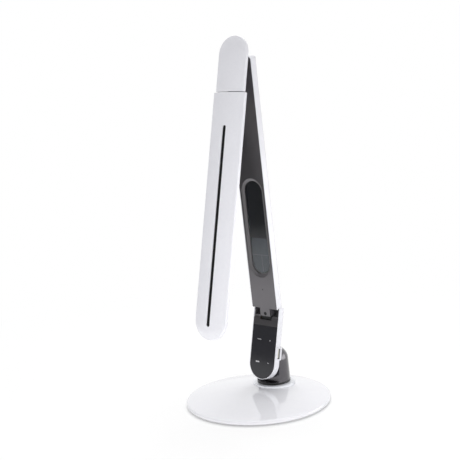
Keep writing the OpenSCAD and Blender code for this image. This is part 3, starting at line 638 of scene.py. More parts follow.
def geometry_tree(name: str, sizes: dict[str, float]) -> tuple[NodeTree, bpy_prop_collection]:
    """Starts a geometry tree with a named input for each size.

    Args:
        name: The tree's name.
        sizes: The inputs and their values; a whole number makes a whole-number input.

    Returns:
        The tree and the sockets that give its inputs.
    """
    tree = bpy.data.node_groups.new(name, "GeometryNodeTree")
    for way in ("INPUT", "OUTPUT"):
        tree.interface.new_socket("Geometry", in_out=way, socket_type="NodeSocketGeometry")
    for key, value in sizes.items():
        kind = "NodeSocketInt" if isinstance(value, int) else "NodeSocketFloat"
        socket = tree.interface.new_socket(key, in_out="INPUT", socket_type=kind)
        socket.default_value = value
    return tree, add(tree, "NodeGroupInput").outputs


def close_tree(tree: NodeTree, shape: Node, finish: Finish) -> None:
    """Ends a geometry tree with real, shaded meshes in a finish.

    Args:
        tree: The tree.
        shape: The node that makes its geometry.
        finish: The finish.
    """
    real = add(tree, "GeometryNodeRealizeInstances", {"Geometry": shape})
    coat = {"Geometry": real, "Material": finish.material()}
    add(tree, "NodeGroupOutput", {0: add(tree, "GeometryNodeSetMaterial", coat)})


def spun(
    name: str, profile: Sequence[Point], finish: Finish, place: Matrix, steps: int = 192
) -> Object:
    """Turns a profile about the Z axis with a geometry tree.

    Args:
        name: The object's name.
        profile: Its radius and height at each point, in mm, from one end to the other.
        finish: Its finish.
        place: The frame that it stands in.
        steps: Faces round it.

    Returns:
        The object.
    """
    sizes = {"Steps": steps, "Rows": len(profile)}
    tree, given = geometry_tree(name + " turning", sizes)
    turns = add(tree, "ShaderNodeMath", {0: given["Steps"], 1: 1.0})
    grid = add(tree, "GeometryNodeMeshGrid", {"Vertices X": given["Rows"], "Vertices Y": turns})
    number = add(tree, "GeometryNodeInputIndex")
    ratio = add(tree, "ShaderNodeMath", {"operation": "DIVIDE", 0: number, 1: turns})
    row = add(tree, "ShaderNodeMath", {"operation": "FLOOR", 0: ratio})
    column = add(tree, "ShaderNodeMath", {"operation": "MODULO", 0: number, 1: turns})
    share = add(tree, "ShaderNodeMath", {"operation": "DIVIDE", 0: column, 1: given["Steps"]})
    angle = add(tree, "ShaderNodeMath", {"operation": "MULTIPLY", 0: share, 1: 2 * math.pi})
    spot = add(tree, "GeometryNodeInputPosition")
    sample = {"data_type": "FLOAT_VECTOR", "Geometry": given["Geometry"], "Value": spot}
    point = add(tree, "GeometryNodeSampleIndex", sample | {"Index": row})
    turn = {"rotation_type": "Z_AXIS", "Vector": point, "Angle": angle}
    moves = {"Geometry": grid, "Position": add(tree, "ShaderNodeVectorRotate", turn)}
    moved = add(tree, "GeometryNodeSetPosition", moves)
    weld = {"Geometry": moved, "Distance": 0.002 * MM}
    close_tree(tree, add(tree, "GeometryNodeMergeByDistance", weld), finish)
    made = grow(name, tree, sizes, [Vector((r * MM, 0, z * MM)) for r, z in profile])
    bm = bmesh.new()
    bm.from_mesh(made.data)
    bmesh.ops.recalc_face_normals(bm, faces=bm.faces)
    bm.transform(place)
    bm.to_mesh(made.data)
    bm.free()
    finished(made.data)
    return made


def screws(
    name: str, places: Sequence[Vector], outward: Vector, head: Point, shank: Point, finish: Finish
) -> Object:
    """Screws with cross-recessed heads, one at each place, made by a geometry tree.

    Args:
        name: The object's name.
        places: Where the underside of each head is, in metres.
        outward: The way that the heads face.
        head: A head's radius and height in mm.
        shank: A shank's radius and length in mm.
        finish: Their finish.

    Returns:
        One object that holds them all.
    """
    sizes = {
        "Radius": head[0] * MM, "Height": head[1] * MM, "Recess": RECESS_WIDTH * head[0] * MM,
        "Shank Radius": shank[0] * MM, "Shank Length": shank[1] * MM,
    }
    tree, given = geometry_tree(name + " screws", sizes)
    radius, high, slot, length = (given[k] for k in ("Radius", "Height", "Recess", "Shank Length"))
    cap = {"Vertices": 32, "Radius": radius, "Depth": high}
    reach = add(tree, "ShaderNodeMath", {"operation": "MULTIPLY", 0: radius, 1: RECESS_REACH})
    sides = [{"X": x, "Y": y, "Z": high} for x, y in ((reach, slot), (slot, reach))]
    blocks = [add(tree, "ShaderNodeCombineXYZ", side) for side in sides]
    bars = [add(tree, "GeometryNodeMeshCube", {"Size": block}) for block in blocks]
    lift = add(tree, "ShaderNodeCombineXYZ", {"Z": high})
    lift = add(tree, "ShaderNodeVectorMath", {"operation": "SCALE", "Scale": RECESS_LIFT, 0: lift})
    cross = {"Geometry": add(tree, "GeometryNodeJoinGeometry", {0: bars}), "Translation": lift}
    cut = {
        "operation": "DIFFERENCE", "solver": "EXACT",
        "Mesh 1": add(tree, "GeometryNodeMeshCylinder", cap),
        "Mesh 2": add(tree, "GeometryNodeTransform", cross),
    }
    capped = add(tree, "GeometryNodeMeshBoolean", cut)
    stem = {"Vertices": 24, "Radius": given["Shank Radius"], "Depth": length}
    whole = add(tree, "ShaderNodeMath", {0: high, 1: length})
    sink = add(tree, "ShaderNodeMath", {"operation": "MULTIPLY", 0: whole, 1: -0.5})
    lowered = {
        "Geometry": add(tree, "GeometryNodeMeshCylinder", stem),
        "Translation": add(tree, "ShaderNodeCombineXYZ", {"Z": sink}),
    }
    parts = [capped, add(tree, "GeometryNodeTransform", lowered)]
    heads = {
        "Points": given["Geometry"], "Instance": add(tree, "GeometryNodeJoinGeometry", {0: parts}),
        "Rotation": Vector((0, 0, 1)).rotation_difference(outward).to_euler(),
    }
    close_tree(tree, add(tree, "GeometryNodeInstanceOnPoints", heads), finish)
    made = grow(name, tree, sizes, [p + outward * (head[1] / 2) * MM for p in places])
    finished(made.data)
    return made


# ---- Sub-assemblies ----


def joint_place(name: str) -> Vector:
    """Where a joint's axis lies, in metres."""
    return Vector(next(j["pos_m"] for j in frame["joints"] if j["name"] == name))


def keeps(**nodes: Finish) -> dict[str, Finish]:
    """A dataclass field's default: the CAD nodes that keep their shape, with their finishes."""
    return field(default_factory=lambda: nodes)


@dataclass
class SubAssembly:
    """A body of the lamp, with the finish of each CAD node that it keeps.

    Args:
        body: The body's name.
        joint: The hinge that its own frame stands on, where it needs one.
        lean: How far it leans to the back at rest, in degrees.
        kept: The nodes that keep their shape.
    """

    body: str = ""
    joint: str = ""
    lean: float = 0.0
    kept: dict[str, Finish] = keeps()

    def place(self) -> Matrix:
        """The frame of its hinge pin, for points in mm, with its top leaning to the back."""
        turn = Matrix.Rotation(math.radians(-self.lean), 4, "X")
        return Matrix.Translation(joint_place(self.joint)) @ turn @ Matrix.Scale(MM, 4)

    def dress(self) -> None:
        """Gives each kept CAD node its finish."""
        for node, finish in self.kept.items():
            mesh = frame["nodes"][node].data
            mesh.materials.clear()
            mesh.materials.append(finish.material())
            log.info("%s: %s keeps its shape, in %s", self.body, node, finish.name)

    def adopt(self, made: Object, finish: Finish, *nodes: str) -> None:
        """Gives a piece its finish and its body.

        Args:
            made: The piece.
            finish: Its finish.
            nodes: The CAD nodes that it replaces, where they aren't named yet.
        """
        if not made.data.materials:
            made.data.materials.append(finish.material())
        if nodes:
            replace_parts(made, *nodes)
        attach(made, self.body)
        log.info("%s: %s in %s", self.body, made.name, finish.name)

    def shells(self, **rounds: tuple[Finish, float, float]) -> None:
        """Makes a moulded shell from each of several CAD nodes.

        Args:
            rounds: For each node, its finish, the round of its edges in mm, and the least area
                in mm2 of a face that is rounded off.
        """
        for node, (finish, width, broad) in rounds.items():
            self.adopt(even_normals(moulded(node, width, broad)), finish)


@dataclass
class Base(SubAssembly):
    """The round base: a lacquered dome over a plate, a ballast disc and a rubber foot."""

    body: str = "base"
    radius: float = 84.96
    rim_h: float = 5.5
    dome_rise: float = 9.1
    foot_h: float = 1.2
    wall: float = 2.4
    wall_short: float = 0.4
    lip: float = 1.5
    trim_r: float = 25.2
    trim_w: float = 10.8
    trim_seat: float = 1.5
    trim_bevel: float = 0.9
    trim_soft: float = 0.2
    trim_foot: Point = (1.0, 0.4)
    ped_back: float = 30.0
    bush_hole: float = 9.3
    bush_z: Point = (5.0, 20.0)
    inlet_hole: float = 2.2
    inlet_z: float = 3.95
    inlet_in: float = 64.0
    screw_ring: float = 55.2
    screw_count: int = 5
    head: Point = (2.3, 0.8)
    shank_r: float = 1.3
    kept: dict[str, Finish] = keeps(
        base_ballast=ZINC, base_plate=BLACK_METAL, foot_ring=RUBBER, swivel_bush=NYLON,
        dc_inlet=BLACK_ABS, power_board=BOARD,
    )

    def dome_profile(self) -> list[Point]:
        """The dome's section, from its top over the rim to the underside and back inside.

        Returns:
            Distance from the axis and height at each point.
        """
        rim_r = self.rim_h / 2
        edge = self.radius - rim_r
        rim_z = self.foot_h + rim_r
        top = self.foot_h + self.rim_h + self.dome_rise
        sphere = (edge**2 + self.dome_rise**2) / (2 * self.dome_rise)
        blend = math.degrees(math.asin(edge / sphere))
        outer = arc((0, top - sphere), sphere, 90, 90 - blend, 40)
        rim = arc((edge, rim_z), rim_r, 90 - blend, -90, 18)
        lip_r = edge - self.lip
        inner = arc((0, top - sphere), sphere - self.wall, 90 - blend + self.wall_short, 90, 24)
        return outer[:-1] + rim + [(lip_r, self.foot_h), (lip_r, rim_z)] + inner

    def dome(self) -> Object:
        """The dome, with holes for the pedestal's bush and the power inlet.

        Returns:
            The dome.
        """
        dome = spun("base_dome", self.dome_profile(), WHITE_LACQUER, Matrix.Identity(4))
        mm = Matrix.Scale(MM, 4)
        low, high = ((0, self.ped_back, z) for z in self.bush_z)
        combine(dome, rod("bush_cutter", self.bush_hole, low, high, mm))
        low, high = (0, self.inlet_in, self.inlet_z), (0, self.radius + 1, self.inlet_z)
        combine(dome, rod("inlet_cutter", self.inlet_hole, low, high, mm))
        finished(dome.data)
        return dome

    def trim(self) -> Object:
        """The trim ring round the pedestal, with a rounded outer edge.

        Returns:
            The ring.
        """
        low, top = (corner.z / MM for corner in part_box("trim_ring"))
        radius, soft, foot = self.trim_r, self.trim_soft, self.trim_foot
        inner, edge = radius - self.trim_w, radius - self.trim_bevel
        profile = [(inner, low + self.trim_seat), (inner, top - soft), (inner + soft, top)]
        profile += arc((edge, top - self.trim_bevel), self.trim_bevel, 90, 0, 6)
        profile += [(radius, low + foot[1]), (radius - foot[0], low)]
        stand = Matrix.Translation((0, self.ped_back * MM, 0))
        return spun("trim_disc", profile, CLEAR_WHITE, stand, 128)

    def screw_heads(self) -> Object:
        """The screws that hold the base plate, in a ring.

        Returns:
            One object that holds them all.
        """
        low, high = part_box("base_screws")
        turns = (2 * math.pi * i / self.screw_count - math.pi / 2 for i in range(self.screw_count))
        seat = low.z + self.head[1] * MM
        ring_r = self.screw_ring * MM
        spots = [Vector((ring_r * math.cos(t), ring_r * math.sin(t), seat)) for t in turns]
        shank = (self.shank_r, (high.z - seat) / MM)
        return screws("base_screw_heads", spots, Vector((0, 0, -1)), self.head, shank, ZINC)

    def build(self) -> None:
        """Makes the dome, the trim ring and the screws, and dresses the rest."""
        self.adopt(self.dome(), WHITE_LACQUER, "base_shell")
        self.adopt(self.trim(), CLEAR_WHITE, "trim_ring")
        self.adopt(self.screw_heads(), ZINC, "base_screws")
        self.dress()


@dataclass
class Pedestal(SubAssembly):
    """The cup that swivels on the base and carries the lower segment."""

    body: str = "pedestal"
    foot_r: float = 19.6
    proud: float = 0.25
    band_h: float = 2.4
    back: float = 30.0
    kept: dict[str, Finish] = keeps(
        tilt_bracket=ZINC, swivel_washer=ZINC, swivel_nut=ZINC, tilt_pin=ZINC
    )

    def glide_ring(self) -> Object:
        """The black ring that the cup's foot turns on.

        Returns:
            The ring.
        """
        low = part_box("pedestal_cover")[0].z / MM
        inner, outer, top = self.foot_r - 1, self.foot_r + self.proud, low + self.band_h
        profile = [(inner, low), (outer - 0.2, low), (outer, low + 0.2), (outer, top - 0.3)]
        profile += [(self.foot_r - 0.1, top), (inner, top), (inner, low)]
        stand = Matrix.Translation((0, self.back * MM, 0))
        return spun("glide_ring", profile, BLACK_ABS, stand, 128)

    def build(self) -> None:
        """Makes the cup and its glide ring, and dresses the rest."""
        self.shells(pedestal_cover=(GRAPHITE, 0.5, 8.0))
        self.adopt(self.glide_ring(), BLACK_ABS)
        self.dress()


@dataclass
class LowerSegment(SubAssembly):
    """The lower segment: a white trough, a dark face with a touch panel, and a USB port."""

    body: str = "lower_segment"
    joint: str = "elbow"
    lean: float = 13.0
    half_t: float = 5.2
    half_w: float = 19.0
    key_dx: float = 16.0
    mark_x: float = 1.3
    mark_off: float = 0.42
    mark_t: float = 0.03
    key_z: float = -52.0
    key_dz: float = 26.6
    usb_z: float = -39.6
    contact_in: float = 5.0
    contact_y: float = 0.04
    contact_dz: Sequence[float] = (-3.5, -1.2, 1.2, 3.5)
    reach: float = 14.4
    cave_hw: float = 17.4
    # The painted shade in the hinge, in mm: the wall films' depths, gap to the mouth, inset and
    # thickness, then the slot block's half width, arc in degrees, gap and foot height.
    shade_y: Point = (-5.0, 3.5)
    wall_shade_gap: float = 0.1
    wall_shade_off: float = 0.04
    wall_shade_t: float = 0.06
    slot_shade_hw: float = 8.38
    slot_shade_arc: Point = (84.0, 81.2)
    slot_shade_gap: float = 0.3
    slot_shade_z: float = 4.5
    kept: dict[str, Finish] = keeps(
        touch_board=BOARD, touch_springs=BRASS, usb_port=ZINC, usb_tongue=NYLON, elbow_pin=ZINC,
        elbow_washers=BRASS, lower_screws=ZINC,
    )

    def wall_shade(self, side: int) -> Object:
        """A thin dark film on the inner wall beside the hinge: painted shade where the wall falls
        in shadow.

        Args:
            side: -1 for the left wall, 1 for the right.

        Returns:
            The film of painted shade.
        """
        back, front = self.shade_y
        outline = mouth(self.reach - self.wall_shade_gap, self.shade_y) + [(front, 0.0), (back, 0.0)]
        wall, half = side * (self.cave_hw - self.wall_shade_off), self.wall_shade_t / 2
        name = "wall_shade_film_" + ("left" if side < 0 else "right")
        return prism(name, outline, wall - half, wall + half, self.place(), along=0)

    def slot_shade(self) -> Object:
        """A dark block across the back of the hinge slot: painted shade that fills the slot where
        it lies in shadow.

        Returns:
            The block of painted shade.
        """
        top = arc((0, 0), self.reach - self.slot_shade_gap, *self.slot_shade_arc, 6)
        outline = top + [(top[-1][0], self.slot_shade_z), (top[0][0], self.slot_shade_z)]
        return prism("slot_shade", outline, -self.slot_shade_hw, self.slot_shade_hw, self.place(), along=0)

    def touch_marks(self) -> Object:
        """The four generic marks over the touch keys: three bars and a stroke.

        Returns:
            One object that holds them all.
        """
        marks = {(-1, 1): (5.8, 0.6), (1, 1): (0.8, 1.4), (-1, 0): (5.2, 1.5), (1, 0): (2.2, 0.6)}
        rows = [
            ((self.mark_x + side * self.key_dx / 2, self.key_z + row * self.key_dz), size)
            for (side, row), size in marks.items()
        ]
        front = -self.half_t - self.mark_off
        return printed("touch_marks", rows, front, self.mark_t, self.place())

    def usb_contacts(self) -> Object:
        """The four contact strips on the port's tongue, made by a geometry tree.

        Returns:
            One object that holds them all.
        """
        sizes = {"Length": 6.5 * MM, "Width": 1.0 * MM, "Thickness": 0.1 * MM}
        tree, given = geometry_tree("usb contact strips", sizes)
        sides = {"X": given["Length"], "Y": given["Thickness"], "Z": given["Width"]}
        size = add(tree, "ShaderNodeCombineXYZ", sides)
        strips = {
            "Points": given["Geometry"],
            "Instance": add(tree, "GeometryNodeMeshCube", {"Size": size}),
            "Rotation": (math.radians(-self.lean), 0, 0),
        }
        close_tree(tree, add(tree, "GeometryNodeInstanceOnPoints", strips), BRASS)
        x, place = self.half_w - self.contact_in, self.place()
        rows = (self.usb_z + dz for dz in self.contact_dz)
        spots = [place @ Vector((x, self.contact_y, z)) for z in rows]
        return grow("usb_contacts", tree, sizes, spots)

    def build(self) -> None:
        """Makes the shells, the touch marks and the contacts, and dresses the rest."""
        self.shells(
            lower_shell=(WHITE_ABS, 0.2, 6.0), lower_cover=(LOWER_FACE, 0.3, 8.0),
            touch_panel=(TOUCH_ACRYLIC, 0.2, 0.0), usb_bezel=(WHITE_ABS, 0.3, 0.0),
            tilt_lug=(BLACK_METAL, 0.4, 4.0),
        )
        # The wall films and the slot block are dark pieces that paint the hinge's shade.
        for made in (self.wall_shade(-1), self.wall_shade(1), self.slot_shade()):
            self.adopt(made, SHADE_ABS)
        self.adopt(self.touch_marks(), PALE_INK)
        self.adopt(self.usb_contacts(), BRASS)
        self.dress()


@dataclass
class Arm(SubAssembly):
    """The long arm: a white trough with a gunmetal face that holds the clock display."""

    body: str = "arm"
    joint: str = "elbow"
    half_t: float = 5.2
    lcd_z: float = 56.9
    lcd_l: float = 47.0
    lcd_hw: float = 12.0
    rules: Sequence[tuple[Point, Point]] = (((0, 78.4), (24, 0.6)), ((1.6, 68.2), (0.8, 19.2)))
    rule_y: float = -1.76
    rule_t: float = 0.02
    mask_top: float = 166.4
    mask_y: Point = (-1.77, -1.72)
    cut_r: float = 14.93
    # The painted shade round the hinge, in mm: the end film's depths, half width and gaps, then
    # the tongue block's half width, depth and height.
    shade_y: Point = (-3.7, 3.5)
    end_shade_hw: float = 17.2
    end_shade_gaps: Point = (0.05, 0.12)
    tongue_shade_hw: float = 8.2
    tongue_shade_y: Point = (-3.7, 1.2)
    tongue_shade_z: Point = (4.7, 14.5)
    kept: dict[str, Finish] = keeps(
        tongue_screw=BLACK_OXIDE, display_glass=WINDOW, lcd_module=LCD, clock_board=BOARD,
        backup_cell=ZINC, arm_ribbon=RIBBON, arm_bracket=ZINC, arm_screws=ZINC, head_pin=ZINC,
        head_washers=BRASS,
    )

    def __post_init__(self) -> None:
        """Takes the arm's lean from its two hinge pins."""
        way = joint_place("head_fold") - joint_place("elbow")
        self.lean = math.degrees(math.atan2(way.y, way.z))

    def display_lines(self) -> Object:
        """The thin printed rules that divide the display into fields."""
        return printed("display_rules", self.rules, self.rule_y, self.rule_t, self.place())

    def print_mask(self) -> Object:
        """The thin dark print behind the window, above the display.

        Returns:
            The film.
        """
        low, half = self.lcd_z + self.lcd_l - self.half_t, self.lcd_hw
        outline = arc((0, self.mask_top - half), half, 0, 180, 24) + [(-half, low), (half, low)]
        return prism("print_mask", outline, *self.mask_y, self.place())

    def end_shade(self) -> Object:
        """A thin dark film on the arm's hollow end, round the hinge: painted shade where the end
        lies in shadow.

        Returns:
            The film of painted shade.
        """
        outer, inner = (mouth(self.cut_r - gap, self.shade_y) for gap in self.end_shade_gaps)
        outline, half = outer + inner[::-1], self.end_shade_hw
        return prism("end_shade", outline, -half, half, self.place(), along=0)

    def tongue_shade(self) -> Object:
        """The dark block behind the tongue, which closes the slot on both sides of it: painted
        shade for the slot's dark depth.

        Returns:
            The block.
        """
        half, (low, high) = self.tongue_shade_hw, self.tongue_shade_z
        outline = [(-half, low), (half, low), (half, high), (-half, high)]
        return prism("tongue_shade_block", outline, *self.tongue_shade_y, self.place())

    def build(self) -> None:
        """Makes the shells, the print and the display's rules, and dresses the rest."""
        self.shells(
            arm_shell=(WHITE_ABS, 0.2, 20.0), arm_cover=(GUNMETAL, 0.25, 8.0),
            display_ring=(SURROUND, 0.3, 0.0), elbow_knuckle=(BLACK_METAL, 0.3, 4.0),
        )
        # The end film and the tongue block are dark pieces that paint the shade round the hinge.
        self.adopt(self.end_shade(), SHADE_ABS)
        self.adopt(self.tongue_shade(), SHADE_ABS)
        self.adopt(self.print_mask(), PRINT_MASK)
        self.adopt(self.display_lines(), PALE_INK)
        self.dress()


@dataclass
class Hood(SubAssembly):
    """A white crowned cover of the head, round at one end and walled at the seam.

    Args:
        half_w: Half its width in mm.
        seam: The height of its seam end.
        tip: The height of its round end.
        hole: The radius of the hole for the twist axle.
    """

    joint: str = "head_fold"
    lean: float = 12.7
    half_w: float = 20.0
    seam: float = 0.0
    tip: float = 0.0
    hole: float = 0.0
    rim_off: float = 11.4
    side_h: float = 3.9
    crown_h: float = 3.5
    wall: float = 1.8
    corner: float = 1.5
    inner_corner: float = 0.6
    past_rim: float = 1.0
    seam_round: float = 0.5
    twist_off: float = 13.4
    hump_hw: float = 5.55

    @property
    def way(self) -> int:
        """1 where the hood runs up from its seam, -1 where it runs down."""
        return 1 if self.tip > self.seam else -1

    @property
    def front(self) -> float:
        """The depth of the crown's middle line."""
        return -(self.rim_off + self.side_h + self.crown_h)

    def section(self, inset: float, corner: float) -> list[Point]:
        """Half a section of the crown, from its middle to its rim.

        Args:
            inset: How far it lies inside the outer surface.
            corner: The round between the crown and the side.

        Returns:
            Distance from the middle and depth at each point.
        """
        radius = (self.half_w**2 + self.crown_h**2) / (2 * self.crown_h)
        centre = self.front + radius
        outer, half = radius - inset, self.half_w - inset
        middle = math.sqrt((outer - corner) ** 2 - (half - corner) ** 2)
        meet = math.degrees(math.atan2(half - corner, middle)) - 90
        crown = arc((0, centre), outer, -90, meet, 14)
        turn = arc((half - corner, centre - middle), corner, meet, 0, 8)[1:]
        return crown + turn + [(half, -self.rim_off)]

    def stations(self, start: float) -> list[Station]:
        """Where the section stands along the hood, down one side, round the end and up again.

        Args:
            start: The height of the first and last station.

        Returns:
            The stations.
        """
        hub = self.tip - self.way * self.half_w
        rows = [start + share * (hub - start) for share in (0, 0.4, 0.8)]
        turns = (math.pi * i / 48 for i in range(49))
        turn = [(hub, (-math.cos(a), self.way * math.sin(a))) for a in turns]
        return [(z, LEFT) for z in rows] + turn + [(z, RIGHT) for z in rows[::-1]]

    def skin(
        self, name: str, rows: list[tuple[list[Point], float]], far: tuple[list[Point], float]
    ) -> Object:
        """A closed solid between sections at its seam end and a section swept round the rest.

        Args:
            name: The object's name.
            rows: Sections for the rounded end, each with its height.
            far: The section swept round the rest, with the height where it starts.

        Returns:
            The object.
        """
        bm = bmesh.new()
        stops = [(section, (z, LEFT)) for section, z in rows]
        stops += [(far[0], station) for station in self.stations(far[1])]
        stops += [(section, (z, RIGHT)) for section, z in rows[::-1]]
        grid = [
            [bm.verts.new((r * out[0], depth, z + r * out[1])) for r, depth in section]
            for section, (z, out) in stops
        ]
        for a, b in zip(grid, grid[1:]):
            for i in range(len(a) - 1):
                bm.faces.new((a[i], a[i + 1], b[i + 1], b[i]))
        bm.faces.new([line[-1] for line in grid])
        bm.faces.new(grid[0][::-1] + grid[-1])
        return piece(name, bm, self.place())

    def hood(self, name: str) -> Object:
        """The hollow cover, with a rounded edge and a wall at its seam.

        Args:
            name: The object's name.

        Returns:
            The object.
        """
        way, bend = self.way, self.seam_round
        rows = []
        for turn in map(math.radians, (0, 22, 45, 68)):
            section = self.section(bend * (1 - math.sin(turn)), self.corner)
            rows.append((section, self.seam + way * bend * (1 - math.cos(turn))))
        outside = self.skin(name, rows, (self.section(0, self.corner), self.seam + way * bend))
        low = self.seam + way * self.wall
        deep = self.section(self.wall, self.inner_corner)
        deep[-1] = (deep[-1][0], deep[-1][1] + self.past_rim)
        made = combine(outside, self.skin(name + "_hollow", [], (deep, low)))
        near, past = sorted((self.seam - way, low + way))
        axis = -self.twist_off
        combine(
            made, rod(name + "_drill", self.hole, (0, axis, near), (0, axis, past), self.place())
        )
        half = self.hump_hw
        outline = [(-half, near), (half, near), (half, past), (-half, past)]
        return combine(made, prism(name + "_notch", outline, axis, 0, self.place()))


@dataclass
class Neck(Hood):
    """The neck above the seam: a crowned cover over the head hinge."""

    body: str = "neck"
    half_w: float = 20.3
    seam: float = -36.6
    tip: float = 25.8
    hole: float = 2.5
    kept: dict[str, Finish] = keeps(twist_spindle=ZINC, neck_screws=ZINC)

    def build(self) -> None:
        """Makes the cover and its base, and dresses the rest."""
        self.adopt(even_normals(self.hood("neck_hood")), WHITE_ABS, "neck_cover")
        self.shells(neck_base=(WHITE_ABS, 0.25, 6.0), head_knuckle=(BLACK_METAL, 0.3, 4.0))
        self.dress()


@dataclass
class LedPanel(Hood):
    """The LED panel below the seam: a crowned cover with a black slot, and an opal diffuser."""

    body: str = "led_panel"
    half_w: float = 22.8
    seam: float = -37.5
    tip: float = -313.2
    hole: float = 3.35
    slot_hw: float = 2.3
    slot_high: float = -74.1
    slot_low: float = -298.2
    slot_cut: Point = (-2.0, 4.0)
    slot_round: float = 0.25
    kept: dict[str, Finish] = keeps(
        heat_spreader=ALUMINIUM, led_board=LED_BOARD, leds=PHOSPHOR, twist_bush=BRASS,
        twist_nut=ZINC, panel_screws=ZINC,
    )

    def build(self) -> None:
        """Makes the cover, cuts its slot and dresses the rest."""
        hood, half = self.hood("panel_hood"), self.slot_hw
        outline = arc((0, self.slot_high - half), half, 0, 180, 24)
        outline += arc((0, self.slot_low + half), half, 180, 360, 24)
        near, deep = (self.front + cut for cut in self.slot_cut)
        combine(hood, prism("slot_cutter", outline, near, deep, self.place()))
        reach = (half + 0.1) * MM
        soften(
            hood, self.slot_round, lambda e: all(abs(v.co.x) < reach for v in e.verts), least=50
        )
        self.adopt(even_normals(hood), WHITE_ABS, "panel_cover")
        self.shells(
            slot_insert=(BLACK_ABS, 0.3, 0.0), diffuser_frame=(WHITE_ABS, 0.4, 6.0),
            diffuser=(OPAL, 0.3, 0.0),
        )
        self.dress()


# ---- Studio ----


@dataclass
class Softbox:
    """A soft area light.

    Args:
        spot: Where it stands, in metres.
        size: Its width and height in metres.
        power: Its power in watts.
        aim: What it points at.
        mirrored: Whether gloss shows it.
        lights: Whether it lights matt surfaces.
    """

    spot: Point3
    size: Point
    power: float
    aim: Point3 = (0.0, 0.0, 0.2)
    mirrored: bool = True
    lights: bool = True

    def hang(self, name: str) -> None:
        """Adds the light to the scene.

        Args:
            name: The light's name.
        """
        light = bpy.data.lights.new(name, "AREA")
        light.shape = "RECTANGLE"
        light.size, light.size_y = self.size
        light.energy = self.power
        holder = shown(name, light)
        holder.location = self.spot
        way = Vector(self.aim) - Vector(self.spot)
        holder.rotation_euler = way.to_track_quat("-Z", "Y").to_euler()
        holder.visible_camera = False
        holder.visible_glossy = self.mirrored
        holder.visible_diffuse = self.lights


# The studio's lights. The top one gives the shading, and the cards only show in gloss.
LIGHTS = {
    "right softbox": Softbox((0.55, 0.1, 0.13), (0.5, 0.24), 0.6, (0.0, 0.0, 0.1)),
    "edge card": Softbox((0.36, 0.36, 0.12), (0.3, 0.24), 0.6, (0.0, 0.0, 0.08), lights=False),
    "top softbox": Softbox((-1.0, 1.4, 3.8), (4.0, 4.0), 146.0, mirrored=False),
    "low key softbox": Softbox(
        (0.36, -0.62, 0.12), (0.4, 0.22), 1.82, (0.0, -0.04, 0.12), mirrored=False
    ),
    "front card": Softbox(
        (-0.167, -0.186, 0.02), (0.3, 0.08), 0.06, (0.0, 0.0, 0.02), lights=False
    ),
}


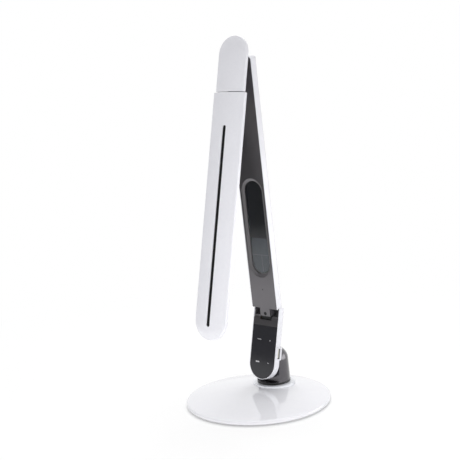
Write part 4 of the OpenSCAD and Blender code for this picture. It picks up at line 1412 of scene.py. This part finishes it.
@dataclass
class Studio:
    """The white studio: a pale floor, soft lights and the camera."""

    # The camera: its turn round the lamp, its look down and its lean in degrees, then how far
    # off it stands, how far right and up it aims, and its focal length, in mm. That length is
    # 1036.18 times as long as a pixel is wide.
    azimuth: float = 42.0
    elevation: float = 9.82
    roll: float = -3.72
    distance: float = 1187.88
    aside: float = -20.85
    height: float = 206.67
    lens: float = SENSOR * 1036.18 / FRAME
    # The world: its strength on what it lights, the side that gloss shows white, its strength
    # in gloss on the other side, and the cosine from the middle where each is reached.
    room_light: float = 0.45
    bright_way: Point3 = (0.0, 0.8, 0.6)
    dusk: float = 0.18
    dusk_edge: float = 0.3
    # The floor as it is seen: where its shading fades out round the lamp, how white it is made
    # before that, the same at the dark gap under the base, and in gloss its near edge and its
    # strength on both sides of it. Distances are in metres.
    glow_from: Point = (0.25, 0.6)
    floor_glow: float = 0.5
    gap: Point = (0.083, 0.088)
    gap_glow: float = 0.5
    table_edge: Point = (-0.54, -0.4)
    mirrored_floor: Point = (0.06, 0.9)

    def place_camera(self) -> None:
        """Sets the camera where the lamp is seen from."""
        turn, tilt, roll = (
            math.radians(v) for v in (self.azimuth, 90 - self.elevation, self.roll)
        )
        way = Matrix.Rotation(turn, 4, "Z") @ Matrix.Rotation(tilt, 4, "X")
        spot = way @ Vector((self.aside, 0, self.distance)) + Vector((0, 0, self.height))
        data = bpy.data.cameras.new("camera")
        data.sensor_fit = "HORIZONTAL"
        data.sensor_width = SENSOR
        data.lens = self.lens
        data.clip_start = 0.01
        holder = shown("camera", data)
        holder.matrix_world = Matrix.Translation(spot * MM) @ way @ Matrix.Rotation(roll, 4, "Z")
        bpy.context.scene.camera = holder

    def seen(self, tree: NodeTree) -> Node:
        """Adds the test for a ray that sees the background itself or in a mirror or glass.

        Args:
            tree: The tree that gets its nodes.

        Returns:
            The node that gives 1 for such a ray.
        """
        ray = add(tree, "ShaderNodeLightPath").outputs
        first = add(tree, "ShaderNodeMath", {0: ray["Is Camera Ray"], 1: ray["Is Glossy Ray"]})
        every = {"use_clamp": True, 0: first, 1: ray["Is Transmission Ray"]}
        return add(tree, "ShaderNodeMath", every)

    def light_world(self) -> None:
        """Lights the room evenly, and shows it white."""
        world = bpy.data.worlds.new("white room")
        world.use_nodes = True
        tree = world.node_tree
        tree.nodes.clear()
        way = add(tree, "ShaderNodeTexCoord").outputs["Generated"]
        facing = {"operation": "DOT_PRODUCT", 0: way, 1: self.bright_way}
        side = add(tree, "ShaderNodeVectorMath", facing).outputs["Value"]
        dusk = (side, -self.dusk_edge, self.dusk_edge, self.dusk, 1.0)
        mirrored = add(tree, "ShaderNodeMapRange", dict(zip(RANGE, dusk)))
        glossy = add(tree, "ShaderNodeLightPath").outputs["Is Glossy Ray"]
        view = add(tree, "ShaderNodeMix", {0: glossy, "A": 1.0, "B": mirrored})
        level = add(tree, "ShaderNodeMix", {0: self.seen(tree), "A": self.room_light, "B": view})
        glow = add(tree, "ShaderNodeBackground", {"Color": (1, 1, 1, 1), "Strength": level})
        add(tree, "ShaderNodeOutputWorld", {"Surface": glow})
        bpy.context.scene.world = world

    def lay_floor(self) -> None:
        """Lays a plain white floor that keeps the lamp's shadow."""
        bm = bmesh.new()
        bmesh.ops.create_grid(bm, x_segments=1, y_segments=1, size=60)
        floor = solid("floor", bm)
        paint = bpy.data.materials.new("matt white studio paint")
        paint.use_nodes = True
        # The glow is only seen, so sampling it as a lamp would add nothing but noise.
        paint.cycles.emission_sampling = "NONE"
        tree = paint.node_tree
        tree.nodes.clear()
        matt = add(tree, "ShaderNodeBsdfDiffuse", {"Color": linear("#f6f6f6")})
        spot = add(tree, "ShaderNodeTexCoord").outputs["Object"]
        away = add(tree, "ShaderNodeVectorMath", {"operation": "LENGTH", 0: spot}).outputs["Value"]
        depth = add(tree, "ShaderNodeSeparateXYZ", {0: spot}).outputs["Y"]
        rise, under, lit = (
            add(tree, "ShaderNodeMapRange", {"interpolation_type": how} | dict(zip(RANGE, values)))
            for how, values in (
                ("SMOOTHSTEP", (away, *self.glow_from, self.floor_glow, 1.0)),
                ("LINEAR", (away, *self.gap, self.gap_glow, 1.0)),
                ("LINEAR", (depth, *self.table_edge, *self.mirrored_floor)),
            )
        )
        clear = add(tree, "ShaderNodeMath", {"operation": "MULTIPLY", 0: rise, 1: under})
        glossy = add(tree, "ShaderNodeLightPath").outputs["Is Glossy Ray"]
        power = add(tree, "ShaderNodeMix", {0: glossy, "A": 1.0, "B": lit})
        level = add(tree, "ShaderNodeMix", {0: glossy, "A": clear, "B": 1.0})
        glow = add(tree, "ShaderNodeEmission", {"Color": (1, 1, 1, 1), "Strength": power})
        share = {"operation": "MULTIPLY", 0: self.seen(tree), 1: level}
        both = {0: add(tree, "ShaderNodeMath", share), 1: matt, 2: glow}
        add(tree, "ShaderNodeOutputMaterial", {"Surface": add(tree, "ShaderNodeMixShader", both)})
        floor.data.materials.append(paint)

    def build(self) -> None:
        """Sets up the room, the lights and the camera."""
        bpy.context.scene.view_settings.view_transform = "Standard"
        self.light_world()
        self.lay_floor()
        for name, light in LIGHTS.items():
            light.hang(name)
        self.place_camera()
        log.info("studio: camera at azimuth %.1f", self.azimuth)


def main() -> None:
    """Builds the lamp's sub-assemblies in order, then the studio."""
    for part in (Base(), Pedestal(), LowerSegment(), Arm(), Neck(), LedPanel(), Studio()):
        part.build()


if __name__ == "__main__":
    logging.basicConfig(level=logging.INFO, format="%(message)s")
    main()
